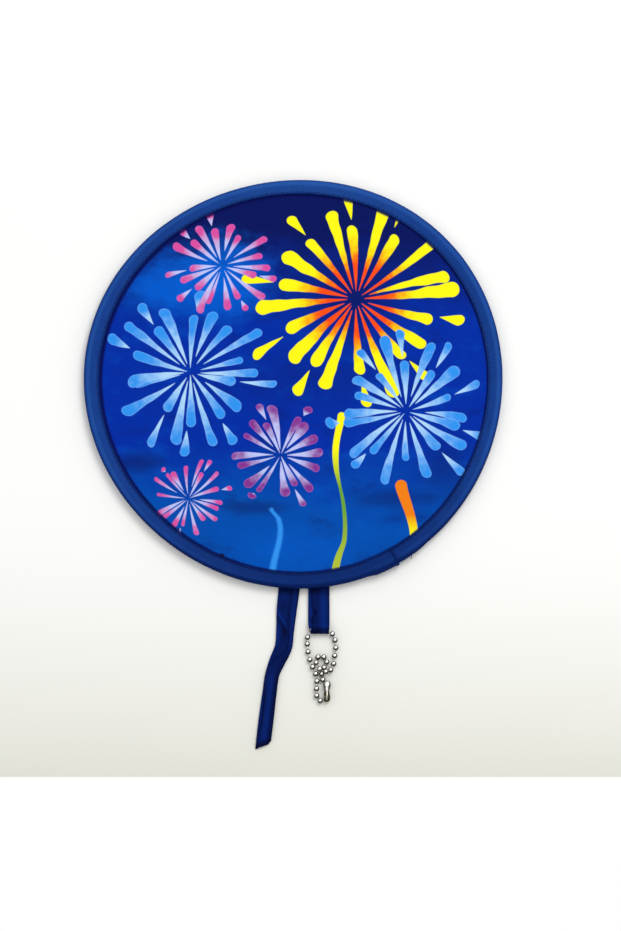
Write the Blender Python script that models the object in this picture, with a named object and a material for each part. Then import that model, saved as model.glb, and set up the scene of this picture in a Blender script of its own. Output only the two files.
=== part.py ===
"""A pop-up folding fan: a printed cloth disc on a spring-steel hoop, with two straps and a ball chain.

The fan lies on its back, print up. X runs across it, Y from the straps to the far side of the rim,
and Z up. The origin is the middle of the whole part's footprint, on the ground.
"""

import math

import bmesh
import bpy
from mathutils import Vector

MM = 0.001

# Air left between two pieces that touch on the real fan
SEAT_GAP = 0.3 * MM

# Rim: a cloth tape folded over the hoop and sewn to both faces of the panel
FAN_DIAMETER = 240 * MM
BINDING_WIDTH = 8.6 * MM
BINDING_FLAT = 3.4 * MM
BINDING_TAPE = 0.5 * MM
BINDING_CHAMFER = 0.6 * MM
LAP_ANGLE = -61.0
LAP_LENGTH = 11 * MM
LAP_FADE = 8 * MM
LAP_STEP = 0.25 * MM

# Panel: one disc of thin cloth, its edge held between the lips of the tape
PANEL_THICKNESS = 0.35 * MM
PANEL_TUCK = 5.0 * MM

# Hoop: a flat spring-steel band on edge, its two ends joined by a crimped ferrule
HOOP_HEIGHT = 3.0 * MM
HOOP_THICKNESS = 0.5 * MM
HOOP_END_GAP = 1.0 * MM
FERRULE_LENGTH = 22 * MM
FERRULE_WALL = 0.3 * MM
FERRULE_GAP = 0.2 * MM
FERRULE_MARGIN = 2 * MM
FERRULE_FADE = 7 * MM

# The elastic fold runs across the middle of the disc
FOLD_GAP = 0.3 * MM
ARC_STEP = 3.75

# Straps: cloth tape folded double, sewn on the back of the rim
STRAP_TAPE = 0.4 * MM
SEAM_INSET = 7.5 * MM
LONG_STRAP_WIDTH = 12 * MM
SHORT_STRAP_WIDTH = 12 * MM
SHORT_STRAP_REACH = 31.8 * MM
SHORT_STRAP_X = 13.7 * MM
EYE_RAMP = 5.0 * MM

# Long strap's middle line: X and distance out from the seam in mm, its width as a share of the
# flat tape's, and how high its lengthwise crease stands in mm
LONG_STRAP_ROUTE = (
    (-3.2, 0.0, 1.00, 0.0),
    (-3.2, 8.0, 1.00, 0.0),
    (-4.5, 20.5, 0.95, 0.0),
    (-5.4, 33.0, 0.83, 0.0),
    (-6.3, 41.5, 0.81, 0.2),
    (-9.9, 49.8, 0.75, 0.8),
    (-12.5, 57.0, 0.66, 1.3),
    (-14.1, 67.5, 0.67, 1.4),
    (-16.1, 83.5, 0.71, 1.2),
    (-17.9, 99.2, 0.69, 0.5),
)
CREASE_SHARE = 0.36
ROUTE_STEPS = 3

# Ball chain: hollow balls, each carrying a headed pin that is caught in the next ball
BALL_DIAMETER = 3.0 * MM
PIN_DIAMETER = 0.4 * MM
PIN_HEAD_DIAMETER = 1.2 * MM
PIN_CLEARANCE = 0.3 * MM
PIN_ROOT = 0.3 * MM
SOCKET_DEPTH = 1.0 * MM
BALL_SEGMENTS = 10
PIN_SEGMENTS = 6

# Ball centres in ball diameters: X and Y from the middle of the strap's eye, Z above the ground.
# The chain leaves the connector, runs up to the eye, through it, back down and twists over itself.
CHAIN_ROUTE = (
    (1.47, -12.86, 0.67),
    (0.24, -13.38, 0.52),
    (-0.42, -12.42, 0.50),
    (-0.46, -11.10, 0.50),
    (-0.38, -9.68, 0.50),
    (-0.60, -8.27, 0.50),
    (-1.21, -6.98, 0.50),
    (-1.70, -5.60, 0.50),
    (-2.04, -4.10, 0.50),
    (-2.20, -2.62, 0.50),
    (-2.15, -1.36, 0.62),
    (-1.33, 0.00, 0.73),
    (0.02, 0.00, 0.73),
    (1.40, 0.00, 0.73),
    (2.52, -0.73, 0.62),
    (3.03, -1.89, 0.50),
    (3.18, -3.34, 0.50),
    (2.97, -4.84, 0.50),
    (2.78, -6.36, 0.50),
    (2.20, -7.60, 0.73),
    (1.30, -7.98, 1.25),
    (0.13, -7.49, 1.20),
    (-0.52, -6.22, 0.95),
    (-0.17, -5.10, 0.50),
    (0.93, -5.10, 0.50),
    (1.48, -6.06, 0.50),
    (0.96, -7.12, 0.50),
    (0.52, -8.30, 0.50),
    (0.72, -9.40, 0.50),
    (1.53, -10.44, 0.67),
)
# First and last of the balls inside the strap's eye, counted from 0
EYE_BALL_INDEXES = (11, 13)

# Connector: a pressed clip with a closed seat for one end ball and an open seat for the other
CONNECTOR_WALL = 0.2 * MM
CONNECTOR_BULB_WALL = 0.3 * MM
CONNECTOR_WAIST_DIAMETER = 2.6 * MM
CONNECTOR_END_REACH = 2.3 * MM
CONNECTOR_TIP_DIAMETER = 1.6 * MM
CONNECTOR_SEAT_GAP = 0.2 * MM
CONNECTOR_OPENING_ANGLE = 60.0
CONNECTOR_SEGMENTS = 16

# Worked out from the sizes above
FAN_RADIUS = FAN_DIAMETER / 2
BALL_RADIUS = BALL_DIAMETER / 2
HOOP_OUTER = FAN_RADIUS - BINDING_TAPE - SEAT_GAP
HOOP_INNER = HOOP_OUTER - HOOP_THICKNESS
CAVITY_HALF = HOOP_HEIGHT / 2 + SEAT_GAP
RIM_HALF = CAVITY_HALF + BINDING_TAPE
LIP_HALF = PANEL_THICKNESS / 2 + SEAT_GAP
FERRULE_GROWTH = FERRULE_GAP + FERRULE_WALL
STRAP_LAYER_RISE = STRAP_TAPE + SEAT_GAP
STRAP_HEIGHT = STRAP_LAYER_RISE + STRAP_TAPE
STRAP_MIDDLE = STRAP_HEIGHT / 2
DISC_Z = STRAP_HEIGHT + SEAT_GAP + RIM_HALF
SEAM_OFFSET = -(FAN_RADIUS - SEAM_INSET)
EYE_RADIUS = BALL_RADIUS + SEAT_GAP + STRAP_TAPE / 2
SOCKET_RADIUS = PIN_HEAD_DIAMETER / 2 + PIN_CLEARANCE
MOUTH_RADIUS = PIN_DIAMETER / 2 + PIN_CLEARANCE
SOCKET_OFFSET = BALL_RADIUS - SOCKET_DEPTH
SEAT_RADIUS = BALL_RADIUS + CONNECTOR_SEAT_GAP


def clear_scene():
    for existing in list(bpy.data.objects):
        bpy.data.objects.remove(existing, do_unlink=True)


def make_material(name, colour, roughness, metallic):
    material = bpy.data.materials.new(name)
    material.use_nodes = True
    shader = material.node_tree.nodes["Principled BSDF"]
    shader.inputs["Base Color"].default_value = (*colour, 1.0)
    shader.inputs["Roughness"].default_value = roughness
    shader.inputs["Metallic"].default_value = metallic
    return material


def add_object(name, bm, material, place, parent=None):
    """Turns the bmesh, drawn round its own origin, into an object that stands at the given place."""
    bmesh.ops.recalc_face_normals(bm, faces=bm.faces)
    mesh = bpy.data.meshes.new(name)
    bm.to_mesh(mesh)
    bm.free()
    mesh.shade_smooth()
    mesh.set_sharp_from_angle(angle=math.radians(35))
    if material:
        mesh.materials.append(material)
    made = bpy.data.objects.new(name, mesh)
    bpy.context.collection.objects.link(made)
    made.location = Vector(place)
    if parent:
        made.parent = parent
        made.location -= parent.location
    return made


def add_axis(name, place):
    """An empty on a joint's axis, which carries the pieces that turn with it."""
    axis = bpy.data.objects.new(name, None)
    axis.location = Vector(place)
    axis.empty_display_size = 10 * MM
    bpy.context.collection.objects.link(axis)
    return axis


def cut(target, cutter, operation="DIFFERENCE"):
    """Cuts or joins one object with another, which is left as a hidden guide."""
    cutter.hide_render = True
    cutter.display_type = "WIRE"
    change = target.modifiers.new(cutter.name, "BOOLEAN")
    change.operation = operation
    change.solver = "EXACT"
    change.object = cutter


def loft(rings):
    """A closed solid through a row of rings with the same number of corners."""
    bm = bmesh.new()
    rows = [[bm.verts.new(corner) for corner in ring] for ring in rings]
    count = len(rows[0])
    for near, far in zip(rows, rows[1:]):
        for i in range(count):
            j = (i + 1) % count
            bm.faces.new((near[i], near[j], far[j], far[i]))
    bm.faces.new(rows[0])
    bm.faces.new(rows[-1])
    return bm


def turned(profile, segments, axis=Vector((0, 0, 1))):
    """A solid turned from (radius, height) pairs that start and end on the axis, laid along axis."""
    bm = bmesh.new()
    corners = [bm.verts.new((radius, 0, height)) for radius, height in profile]
    edges = [bm.edges.new(pair) for pair in zip(corners, corners[1:])]
    bmesh.ops.spin(
        bm, geom=corners + edges, cent=(0, 0, 0), axis=(0, 0, 1), angle=math.tau, steps=segments,
    )
    bmesh.ops.remove_doubles(bm, verts=bm.verts, dist=0.001 * MM)
    turn = Vector((0, 0, 1)).rotation_difference(axis).to_matrix()
    bmesh.ops.rotate(bm, verts=bm.verts, cent=(0, 0, 0), matrix=turn)
    return bm


def round_profile(radius, steps, start=-90.0, end=90.0):
    """(radius, height) pairs along a ball's outline, from one latitude to another."""
    pairs = []
    for i in range(steps + 1):
        latitude = math.radians(start + (end - start) * i / steps)
        on_axis = abs(math.cos(latitude)) < 1e-6
        pairs.append((0.0 if on_axis else radius * math.cos(latitude), radius * math.sin(latitude)))
    return pairs


def sheet(rows):
    """A cloth surface with no thickness, through rows of points."""
    bm = bmesh.new()
    grid = [[bm.verts.new(point) for point in row] for row in rows]
    for near, far in zip(grid, grid[1:]):
        for i in range(len(near) - 1):
            bm.faces.new((near[i], near[i + 1], far[i + 1], far[i]))
    return bm


def thicken(cloth):
    """Gives a cloth surface the strap tape's thickness, half on each side."""
    change = cloth.modifiers.new("tape", "SOLIDIFY")
    change.thickness = STRAP_TAPE
    change.offset = 0.0
    change.use_even_offset = True


def smooth_row(points, steps):
    """A Catmull-Rom curve through the points, with the same number of steps between each pair."""
    ends = [points[0], *points, points[-1]]
    row = []
    for a, b, c, d in zip(ends, ends[1:], ends[2:], ends[3:]):
        for i in range(steps):
            t = i / steps
            row.append(tuple(
                0.5 * (2 * q + (r - p) * t + (2 * p - 5 * q + 4 * r - s) * t**2
                       + (3 * q - p - 3 * r + s) * t**3)
                for p, q, r, s in zip(a, b, c, d)
            ))
    row.append(tuple(points[-1]))
    return row


def arc_angles(start, end):
    count = max(2, math.ceil(abs(end - start) / ARC_STEP))
    return [start + (end - start) * i / count for i in range(count + 1)]


def degrees_along(length, radius):
    return math.degrees(length / radius)


def ring_at(angle, corners):
    """Corners given as (radius, height), stood upright at an angle round the disc."""
    turn = math.radians(angle)
    return [Vector((r * math.cos(turn), r * math.sin(turn), z)) for r, z in corners]


def ramp(value, full, fade):
    """One up to the full distance, then falling smoothly to nothing over the fade."""
    share = min(max((value - full) / fade, 0.0), 1.0)
    return 1 - share * share * (3 - 2 * share)


def ferrule_swell(angle):
    """How far the tape stands out to clear the ferrule."""
    off = abs(angle - LAP_ANGLE) * math.radians(1) * HOOP_OUTER
    return FERRULE_GROWTH * ramp(off, FERRULE_LENGTH / 2 + FERRULE_MARGIN, FERRULE_FADE)


def lap_swell(angle):
    """The tape's second layer, from its cut end to where it dies into the first."""
    along = (LAP_ANGLE - angle) * math.radians(1) * FAN_RADIUS
    return BINDING_TAPE * ramp(along, LAP_LENGTH, LAP_FADE) if along >= 0 else 0.0


def binding_corners(swell, lap):
    """The folded tape's section: open towards the disc, its lips either side of the panel."""
    lip = FAN_RADIUS - BINDING_WIDTH
    shoulder = FAN_RADIUS - BINDING_FLAT
    wall = FAN_RADIUS + swell + lap
    crown = RIM_HALF + swell + lap
    outside = [
        (lip, LIP_HALF + BINDING_TAPE + lap),
        (shoulder, crown),
        (wall - BINDING_CHAMFER, crown),
        (wall, crown - BINDING_CHAMFER),
    ]
    inside = [
        (FAN_RADIUS - BINDING_TAPE + swell, CAVITY_HALF + swell),
        (shoulder, CAVITY_HALF + swell),
        (lip, LIP_HALF),
    ]
    below_outside = [(r, -z) for r, z in reversed(outside)]
    below_inside = [(r, -z) for r, z in reversed(inside)]
    return outside + below_outside + below_inside + inside


def binding_half(start, end):
    angles = arc_angles(start, end)
    if start < LAP_ANGLE < end:
        near = degrees_along(FERRULE_LENGTH / 2 + FERRULE_MARGIN, HOOP_OUTER)
        far = near + degrees_along(FERRULE_FADE, HOOP_OUTER)
        step = degrees_along(LAP_STEP, FAN_RADIUS)
        edges = [LAP_ANGLE - far, LAP_ANGLE - near, LAP_ANGLE, LAP_ANGLE + step]
        edges += [LAP_ANGLE + near, LAP_ANGLE + far]
        kept = [a for a in angles if all(abs(a - edge) > 1.0 for edge in edges)]
        angles = sorted(kept + edges)
    return loft([
        ring_at(angle, binding_corners(ferrule_swell(angle), lap_swell(angle))) for angle in angles
    ])


def band_arc(start, end, inner, outer, half_height):
    corners = [(inner, -half_height), (outer, -half_height), (outer, half_height), (inner, half_height)]
    return loft([ring_at(angle, corners) for angle in arc_angles(start, end)])


def panel_half(start, end):
    radius = FAN_RADIUS - BINDING_WIDTH + PANEL_TUCK
    rim = [ring_at(angle, [(radius, 0)])[0] for angle in arc_angles(start, end)]
    middle = Vector((0, rim[0].y, 0))
    low, high = (
        [point + Vector((0, 0, side * PANEL_THICKNESS / 2)) for point in [middle, *rim]]
        for side in (-1, 1)
    )
    return loft([low, high])


def make_disc(place, fold_axis, cloth, tape, steel):
    """Panel, binding and hoop, each in the two halves that the fold brings together."""
    gap = degrees_along(FOLD_GAP / 2, FAN_RADIUS)
    upper = (gap, 180 - gap)
    lower = (-180 + gap, -gap)
    for side, span, parent in (("upper", upper, fold_axis), ("lower", lower, None)):
        add_object(f"panel_{side}", panel_half(*span), cloth, place, parent)
        add_object(f"binding_{side}", binding_half(*span), tape, place, parent)
    break_half = degrees_along(HOOP_END_GAP / 2, HOOP_OUTER)
    arcs = {
        "hoop_top_arc": (*upper, fold_axis),
        "hoop_left_arc": (lower[0], LAP_ANGLE - break_half, None),
        "hoop_right_arc": (LAP_ANGLE + break_half, lower[1], None),
    }
    for name, (start, end, parent) in arcs.items():
        band = band_arc(start, end, HOOP_INNER, HOOP_OUTER, HOOP_HEIGHT / 2)
        add_object(name, band, steel, place, parent)


def make_ferrule(place, steel):
    half = degrees_along(FERRULE_LENGTH / 2, HOOP_OUTER)
    sleeve = band_arc(
        LAP_ANGLE - half, LAP_ANGLE + half,
        HOOP_INNER - FERRULE_GROWTH, HOOP_OUTER + FERRULE_GROWTH, HOOP_HEIGHT / 2 + FERRULE_GROWTH,
    )
    bore = band_arc(
        LAP_ANGLE - 1.2 * half, LAP_ANGLE + 1.2 * half,
        HOOP_INNER - FERRULE_GAP, HOOP_OUTER + FERRULE_GAP, HOOP_HEIGHT / 2 + FERRULE_GAP,
    )
    ferrule = add_object("hoop_ferrule", sleeve, steel, place)
    cut(ferrule, add_object("ferrule_bore", bore, None, place))


def long_strap_stations():
    """Middle point, width and crease height at each step from the seam to the fold at the end."""
    return [
        (Vector((x * MM, -out * MM, 0)), share * LONG_STRAP_WIDTH, crease * MM)
        for x, out, share, crease in smooth_row(LONG_STRAP_ROUTE, ROUTE_STEPS)
    ]


def long_strap_rows():
    """Lower layer out to the end, round the fold and back as the upper layer."""
    stations = long_strap_stations()
    rows = []
    for i, (middle, width, crease) in enumerate(stations):
        before = stations[max(i - 1, 0)][0]
        after = stations[min(i + 1, len(stations) - 1)][0]
        along = (after - before).normalized()
        across = Vector((-along.y, along.x, 0)) * width
        row = [
            middle + across * 0.5,
            middle + across * CREASE_SHARE / 2,
            middle + across * (CREASE_SHARE - 0.5) + Vector((0, 0, crease)),
            middle - across * 0.5,
        ]
        rows.append(row)
    lower = [[point + Vector((0, 0, STRAP_TAPE / 2)) for point in row] for row in rows]
    upper = [[point + Vector((0, 0, STRAP_LAYER_RISE)) for point in row] for row in lower]
    tip = along * STRAP_LAYER_RISE / 2
    fold = []
    for turn in (30, 90, 150):
        rise = Vector((0, 0, STRAP_LAYER_RISE * (1 - math.cos(math.radians(turn))) / 2))
        reach = tip * math.sin(math.radians(turn))
        fold.append([point + rise + reach for point in lower[-1]])
    return lower + fold + upper[::-1]


def make_long_strap(seam, webbing):
    """The closing strap lies on the ground, its origin on the seam at half its thickness."""
    ground = Vector((0, seam.location.y, 0))
    strap = add_object("long_strap", sheet(long_strap_rows()), webbing, ground, seam)
    thicken(strap)


def chain_span_at_eye():
    """X of the clear stretch of the eye's fold: from the pin that leaves on its left to the ball
    that stands on its right."""
    first, last = EYE_BALL_INDEXES
    inside, outside = (Vector(CHAIN_ROUTE[i]) * BALL_DIAMETER for i in (first, first - 1))
    way = outside - inside
    crossing = inside.x + way.x * (-EYE_RADIUS - inside.y) / way.y
    left = crossing + (PIN_DIAMETER / 2 + SEAT_GAP) * way.length / abs(way.y)
    right = CHAIN_ROUTE[last + 1][0] * BALL_DIAMETER - BALL_RADIUS - SEAT_GAP
    return left, right


def short_strap_path():
    """(distance out from the seam, height, how far drawn in beside the chain) along the tape. It
    stays drawn in round the outer half of the eye, which the chain's pins sweep as they swing."""
    reach = SHORT_STRAP_REACH
    flat = STRAP_TAPE / 2
    middle = flat + EYE_RADIUS
    path = [(0.0, flat, 0.0), (reach - 1.5 * EYE_RADIUS, flat, 0.0), (reach - EYE_RADIUS / 4, flat, 1.0)]
    for turn in range(-90, 151, 30):
        bend = math.radians(turn)
        drawn = min(2.0 - turn / 90, 1.0)
        path.append((reach + EYE_RADIUS * math.cos(bend), middle + EYE_RADIUS * math.sin(bend), drawn))
    top = path[-1]
    low = flat + STRAP_LAYER_RISE
    for share in (0.35, 0.7, 1.0):
        drop = share * share * (3 - 2 * share)
        path.append((top[0] - EYE_RAMP * share, top[1] + (low - top[1]) * drop, 0.0))
    path.append((0.0, low, 0.0))
    return path


def make_short_strap(seam, webbing):
    """The tab that is folded round the chain, its origin on the seam at half its thickness."""
    left, right = chain_span_at_eye()
    half = SHORT_STRAP_WIDTH / 2
    rows = []
    for out, height, drawn in short_strap_path():
        low = -half + (left + half) * drawn
        high = half + (right - half) * drawn
        rows.append([Vector((low + (high - low) * i / 2, -out, height)) for i in range(3)])
    ground = Vector((SHORT_STRAP_X, seam.location.y, 0))
    strap = add_object("short_strap", sheet(rows), webbing, ground, seam)
    thicken(strap)


def ball_profile():
    """A ball with a round socket under a narrow mouth, turned about the line to the ball before it."""
    mouth_latitude = math.degrees(math.acos(MOUTH_RADIUS / BALL_RADIUS))
    neck = math.degrees(math.acos(MOUTH_RADIUS / SOCKET_RADIUS))
    outside = round_profile(BALL_RADIUS, 7, -90, mouth_latitude)
    inside = [(r, z + SOCKET_OFFSET) for r, z in round_profile(SOCKET_RADIUS, 4, neck, -90)]
    return outside + inside


def pin_profile(length):
    """A rod from inside its own ball to a round head in the next ball's socket."""
    head = PIN_HEAD_DIAMETER / 2
    rod = PIN_DIAMETER / 2
    root = BALL_RADIUS - PIN_ROOT
    start = -math.degrees(math.acos(rod / head))
    return [(0.0, root), (rod, root)] + [(r, z + length) for r, z in round_profile(head, 3, start, 90)]


def make_chain(eye, plated):
    """Every ball faces its socket to the ball before it and its pin to the ball after it."""
    origin = Vector((eye.location.x, eye.location.y, 0))
    centres = [origin + Vector(point) * BALL_DIAMETER for point in CHAIN_ROUTE]
    for i, centre in enumerate(centres):
        name = f"chain_bead_{i + 1:02d}"
        if i == 0:
            body = turned(round_profile(BALL_RADIUS, 8), BALL_SEGMENTS, centres[1] - centre)
        else:
            body = turned(ball_profile(), BALL_SEGMENTS, centres[i - 1] - centre)
        ball = add_object(name, body, plated, centre, eye)
        if i == len(centres) - 1:
            continue
        ahead = centres[i + 1] - centre
        rod = turned(pin_profile(ahead.length - SOCKET_OFFSET), PIN_SEGMENTS, ahead)
        cut(ball, add_object(f"{name}_pin", rod, None, centre, eye), "UNION")
    return centres[0], centres[-1]


def connector_profile(span):
    """The pressed clip's outline, from the open seat's end to the closed seat's end."""
    body = SEAT_RADIUS + CONNECTOR_WALL
    bulb = SEAT_RADIUS + CONNECTOR_BULB_WALL
    tip = CONNECTOR_TIP_DIAMETER / 2
    waist = CONNECTOR_WAIST_DIAMETER / 2
    return [
        (0.0, -span - CONNECTOR_END_REACH),
        (tip, -span - CONNECTOR_END_REACH),
        (body * 0.82, -span - CONNECTOR_END_REACH * 0.72),
        (body, -span - CONNECTOR_END_REACH * 0.3),
        (body, -span + SEAT_RADIUS * 0.5),
        (body * 0.9, -span + SEAT_RADIUS),
        (waist, -0.1 * span),
        (waist, 0.1 * span),
        (bulb * 0.86, span - SEAT_RADIUS * 0.85),
        (bulb, span - SEAT_RADIUS * 0.35),
        (bulb, span + SEAT_RADIUS * 0.35),
        (bulb * 0.82, span + CONNECTOR_END_REACH * 0.72),
        (tip, span + CONNECTOR_END_REACH),
        (0.0, span + CONNECTOR_END_REACH),
    ]


def seat_cutter():
    return turned(round_profile(SEAT_RADIUS, 10), CONNECTOR_SEGMENTS)


def release_channel(arm):
    """The way that the loose end ball takes out of its seat, an arc about the held ball."""
    bm = bmesh.new()
    circle = bmesh.ops.create_circle(bm, cap_ends=True, radius=SEAT_RADIUS, segments=CONNECTOR_SEGMENTS)
    turn = arm.normalized().cross(Vector((0, 0, 1)))
    facing = Vector((0, 0, 1)).rotation_difference(turn).to_matrix()
    bmesh.ops.rotate(bm, verts=circle["verts"], cent=(0, 0, 0), matrix=facing)
    bmesh.ops.translate(bm, verts=circle["verts"], vec=arm)
    bmesh.ops.spin(
        bm, geom=bm.verts[:] + bm.edges[:] + bm.faces[:], cent=(0, 0, 0), axis=(0, 0, -1),
        angle=math.radians(CONNECTOR_OPENING_ANGLE), steps=8,
    )
    return bm


def pin_slot(first, last):
    """A flat fan-shaped slot from the held ball's seat, between two directions in the ground plane."""
    half = MOUTH_RADIUS
    reach = 2.5 * SEAT_RADIUS
    corners = [Vector((0, 0, 0))]
    for i in range(7):
        turn = math.radians(first + (last - first) * i / 6)
        corners.append(Vector((reach * math.cos(turn), reach * math.sin(turn), 0)))
    return loft([[corner + Vector((0, 0, side * half)) for corner in corners] for side in (-1, 1)])


def make_connector(held, loose, pin_from, axis, plated):
    """The clip turns about the held ball, and its open seat lets the loose ball out sideways."""
    arm = loose - held
    middle = held + arm / 2
    body = turned(connector_profile(arm.length / 2), CONNECTOR_SEGMENTS, -arm)
    bmesh.ops.translate(body, verts=body.verts, vec=middle - held)
    connector = add_object("chain_connector", body, plated, held, axis)
    cut(connector, add_object("held_ball_seat", seat_cutter(), None, held, axis))
    cut(connector, add_object("loose_ball_seat", seat_cutter(), None, loose, axis))
    cut(connector, add_object("release_channel", release_channel(arm), None, held, axis))
    pin = pin_from - held
    entry = math.degrees(math.atan2(pin.y, pin.x))
    slot = pin_slot(entry + 12, entry - CONNECTOR_OPENING_ANGLE - 12)
    cut(connector, add_object("pin_slot", slot, None, held, axis))


def main():
    clear_scene()
    cloth = make_material("printed_cloth", (0.05, 0.16, 0.55), 0.6, 0.0)
    tape = make_material("binding_tape", (0.02, 0.08, 0.30), 0.75, 0.0)
    webbing = make_material("strap_tape", (0.03, 0.12, 0.36), 0.8, 0.0)
    steel = make_material("spring_steel", (0.45, 0.46, 0.48), 0.35, 1.0)
    plated = make_material("bright_plating", (0.75, 0.76, 0.78), 0.15, 1.0)

    strap_lowest = min(point.y for row in long_strap_rows() for point in row)
    reach = -SEAM_OFFSET - strap_lowest + STRAP_TAPE / 2
    disc = Vector((0, (reach - FAN_RADIUS) / 2, DISC_Z))
    seam_y = disc.y + SEAM_OFFSET

    fold_axis = add_axis("fold_axis", (0, disc.y, DISC_Z + RIM_HALF))
    make_disc(disc, fold_axis, cloth, tape, steel)
    make_ferrule(disc, steel)

    long_seam = add_axis("long_strap_seam", (0, seam_y, STRAP_MIDDLE))
    make_long_strap(long_seam, webbing)
    short_seam = add_axis("short_strap_seam", (SHORT_STRAP_X, seam_y, STRAP_MIDDLE))
    make_short_strap(short_seam, webbing)

    eye = add_axis("chain_eye", (SHORT_STRAP_X, seam_y - SHORT_STRAP_REACH, STRAP_TAPE / 2 + EYE_RADIUS))
    loose, held = make_chain(eye, plated)
    pin_from = Vector((eye.location.x, eye.location.y, 0)) + Vector(CHAIN_ROUTE[-2]) * BALL_DIAMETER
    clip_axis = add_axis("connector_seat", held)
    make_connector(held, loose, pin_from, clip_axis, plated)


main()
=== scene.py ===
"""The looks of a pop-up cloth fan with a fireworks print, its straps and its ball chain.

The fan lies on its back, print up. X runs across it, Y from the straps to the far side of the rim,
and Z up, all in metres.
"""

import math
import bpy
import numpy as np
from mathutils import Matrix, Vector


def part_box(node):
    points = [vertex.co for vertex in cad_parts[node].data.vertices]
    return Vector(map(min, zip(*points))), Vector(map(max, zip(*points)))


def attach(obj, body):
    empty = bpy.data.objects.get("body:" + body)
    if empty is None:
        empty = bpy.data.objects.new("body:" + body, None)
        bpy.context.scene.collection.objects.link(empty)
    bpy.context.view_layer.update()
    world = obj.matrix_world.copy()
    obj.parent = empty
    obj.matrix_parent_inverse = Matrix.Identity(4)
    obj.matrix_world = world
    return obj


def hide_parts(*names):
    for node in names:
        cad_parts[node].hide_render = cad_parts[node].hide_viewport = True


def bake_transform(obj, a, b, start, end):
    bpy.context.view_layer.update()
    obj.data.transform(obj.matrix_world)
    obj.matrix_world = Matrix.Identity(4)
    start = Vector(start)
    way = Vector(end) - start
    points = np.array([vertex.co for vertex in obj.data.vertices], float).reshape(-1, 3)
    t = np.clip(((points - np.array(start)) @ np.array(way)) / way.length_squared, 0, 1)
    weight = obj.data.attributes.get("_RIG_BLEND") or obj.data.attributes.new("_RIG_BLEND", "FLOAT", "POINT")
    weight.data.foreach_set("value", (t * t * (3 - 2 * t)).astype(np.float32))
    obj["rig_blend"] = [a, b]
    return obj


bl_info = {
    "name": "Pop-up cloth fan",
    "version": (1, 0, 0),
    "blender": (4, 5, 0),
    "location": "3D Viewport > Sidebar > Cloth Fan",
    "description": "Dresses the solid model of a folding fan in cloth, tape, thread and plated metal",
    "category": "Object",
}

from typing import NamedTuple

import bmesh
import bpy
from bpy.props import FloatProperty, FloatVectorProperty, IntProperty, PointerProperty
from mathutils import Matrix, Vector, noise

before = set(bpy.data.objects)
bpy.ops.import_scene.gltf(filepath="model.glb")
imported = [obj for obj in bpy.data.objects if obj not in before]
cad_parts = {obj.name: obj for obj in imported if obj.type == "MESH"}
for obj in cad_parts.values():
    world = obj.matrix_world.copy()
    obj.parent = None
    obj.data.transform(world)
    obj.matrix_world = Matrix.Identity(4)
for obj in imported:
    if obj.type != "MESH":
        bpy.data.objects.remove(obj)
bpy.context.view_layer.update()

MM = 0.001

# Sizes and places read from the solid model
RIM_LOW, RIM_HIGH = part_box("binding_upper")
PANEL_LOW, PANEL_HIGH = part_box("panel_upper")
HOOP_LOW, HOOP_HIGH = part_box("hoop_top_arc")
LONG_LOW, LONG_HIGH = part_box("long_strap")
SHORT_LOW, SHORT_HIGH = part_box("short_strap")
FAN_RADIUS = (RIM_HIGH.x - RIM_LOW.x) / 2
DISC = Vector((0, RIM_HIGH.y - FAN_RADIUS, (PANEL_LOW.z + PANEL_HIGH.z) / 2))
RIM_HALF = RIM_HIGH.z - DISC.z
PANEL_RADIUS = (PANEL_HIGH.x - PANEL_LOW.x) / 2
HOOP_RADIUS = (HOOP_HIGH.x - HOOP_LOW.x) / 2
HOOP_HALF = (HOOP_HIGH.z - HOOP_LOW.z) / 2
SEAM_Y = LONG_HIGH.y
SHORT_X = (SHORT_LOW.x + SHORT_HIGH.x) / 2

# Places round the rim, in degrees from +X
LAP_ANGLE = -61.0
TACK_ANGLE = -112.1
LOOSE_THREAD_ANGLE = -57.2
FULL_TURN = 360.0

# The sprung hoop isn't quite round: it stands out at three places and in between them
OUT_OF_ROUND = 1.27 * MM
LOBES = 3
LOBE_ANGLE = 47.1

# Either side of the fold line, how far the cloth, the tape and the hoop bend
FOLD_REACH = 15 * MM

# Folded tape's section: distance in from the outer wall and height above the disc's middle, in mm
TAPE_OUTSIDE = (
    (8.42, 0.50),
    (8.62, 0.74),
    (8.42, 1.02),
    (7.90, 1.12),
    (7.40, 1.02),
    (6.80, 1.24),
    (5.60, 1.74),
    (4.40, 2.12),
    (3.40, 2.26),
    (2.20, 2.32),
    (1.20, 2.22),
    (0.50, 1.84),
    (0.12, 1.16),
    (0.00, 0.00),
)
TAPE_INSIDE = (
    (0.62, 0.00),
    (0.66, 1.20),
    (1.40, 1.80),
    (3.40, 1.80),
    (5.40, 1.28),
    (7.00, 0.52),
)
LIP_INSET = 8.6 * MM
STITCH_INSET = 7.40
STITCH_LEVEL = 1.06

# Long strap's middle line: X and distance out from the seam in mm, its width as a share of the
# flat tape's, and how high its lengthwise crease stands in mm
LONG_STRAP_ROUTE = (
    (-3.2, 0.0, 1.00, 0.0),
    (-3.2, 8.0, 1.00, 0.0),
    (-4.5, 20.5, 0.95, 0.0),
    (-5.4, 33.0, 0.83, 0.0),
    (-6.3, 41.5, 0.81, 0.2),
    (-9.9, 49.8, 0.75, 0.8),
    (-12.5, 57.0, 0.66, 1.3),
    (-14.1, 67.5, 0.67, 1.4),
    (-16.1, 83.5, 0.71, 1.2),
    (-17.9, 99.2, 0.69, 0.5),
)

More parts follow.
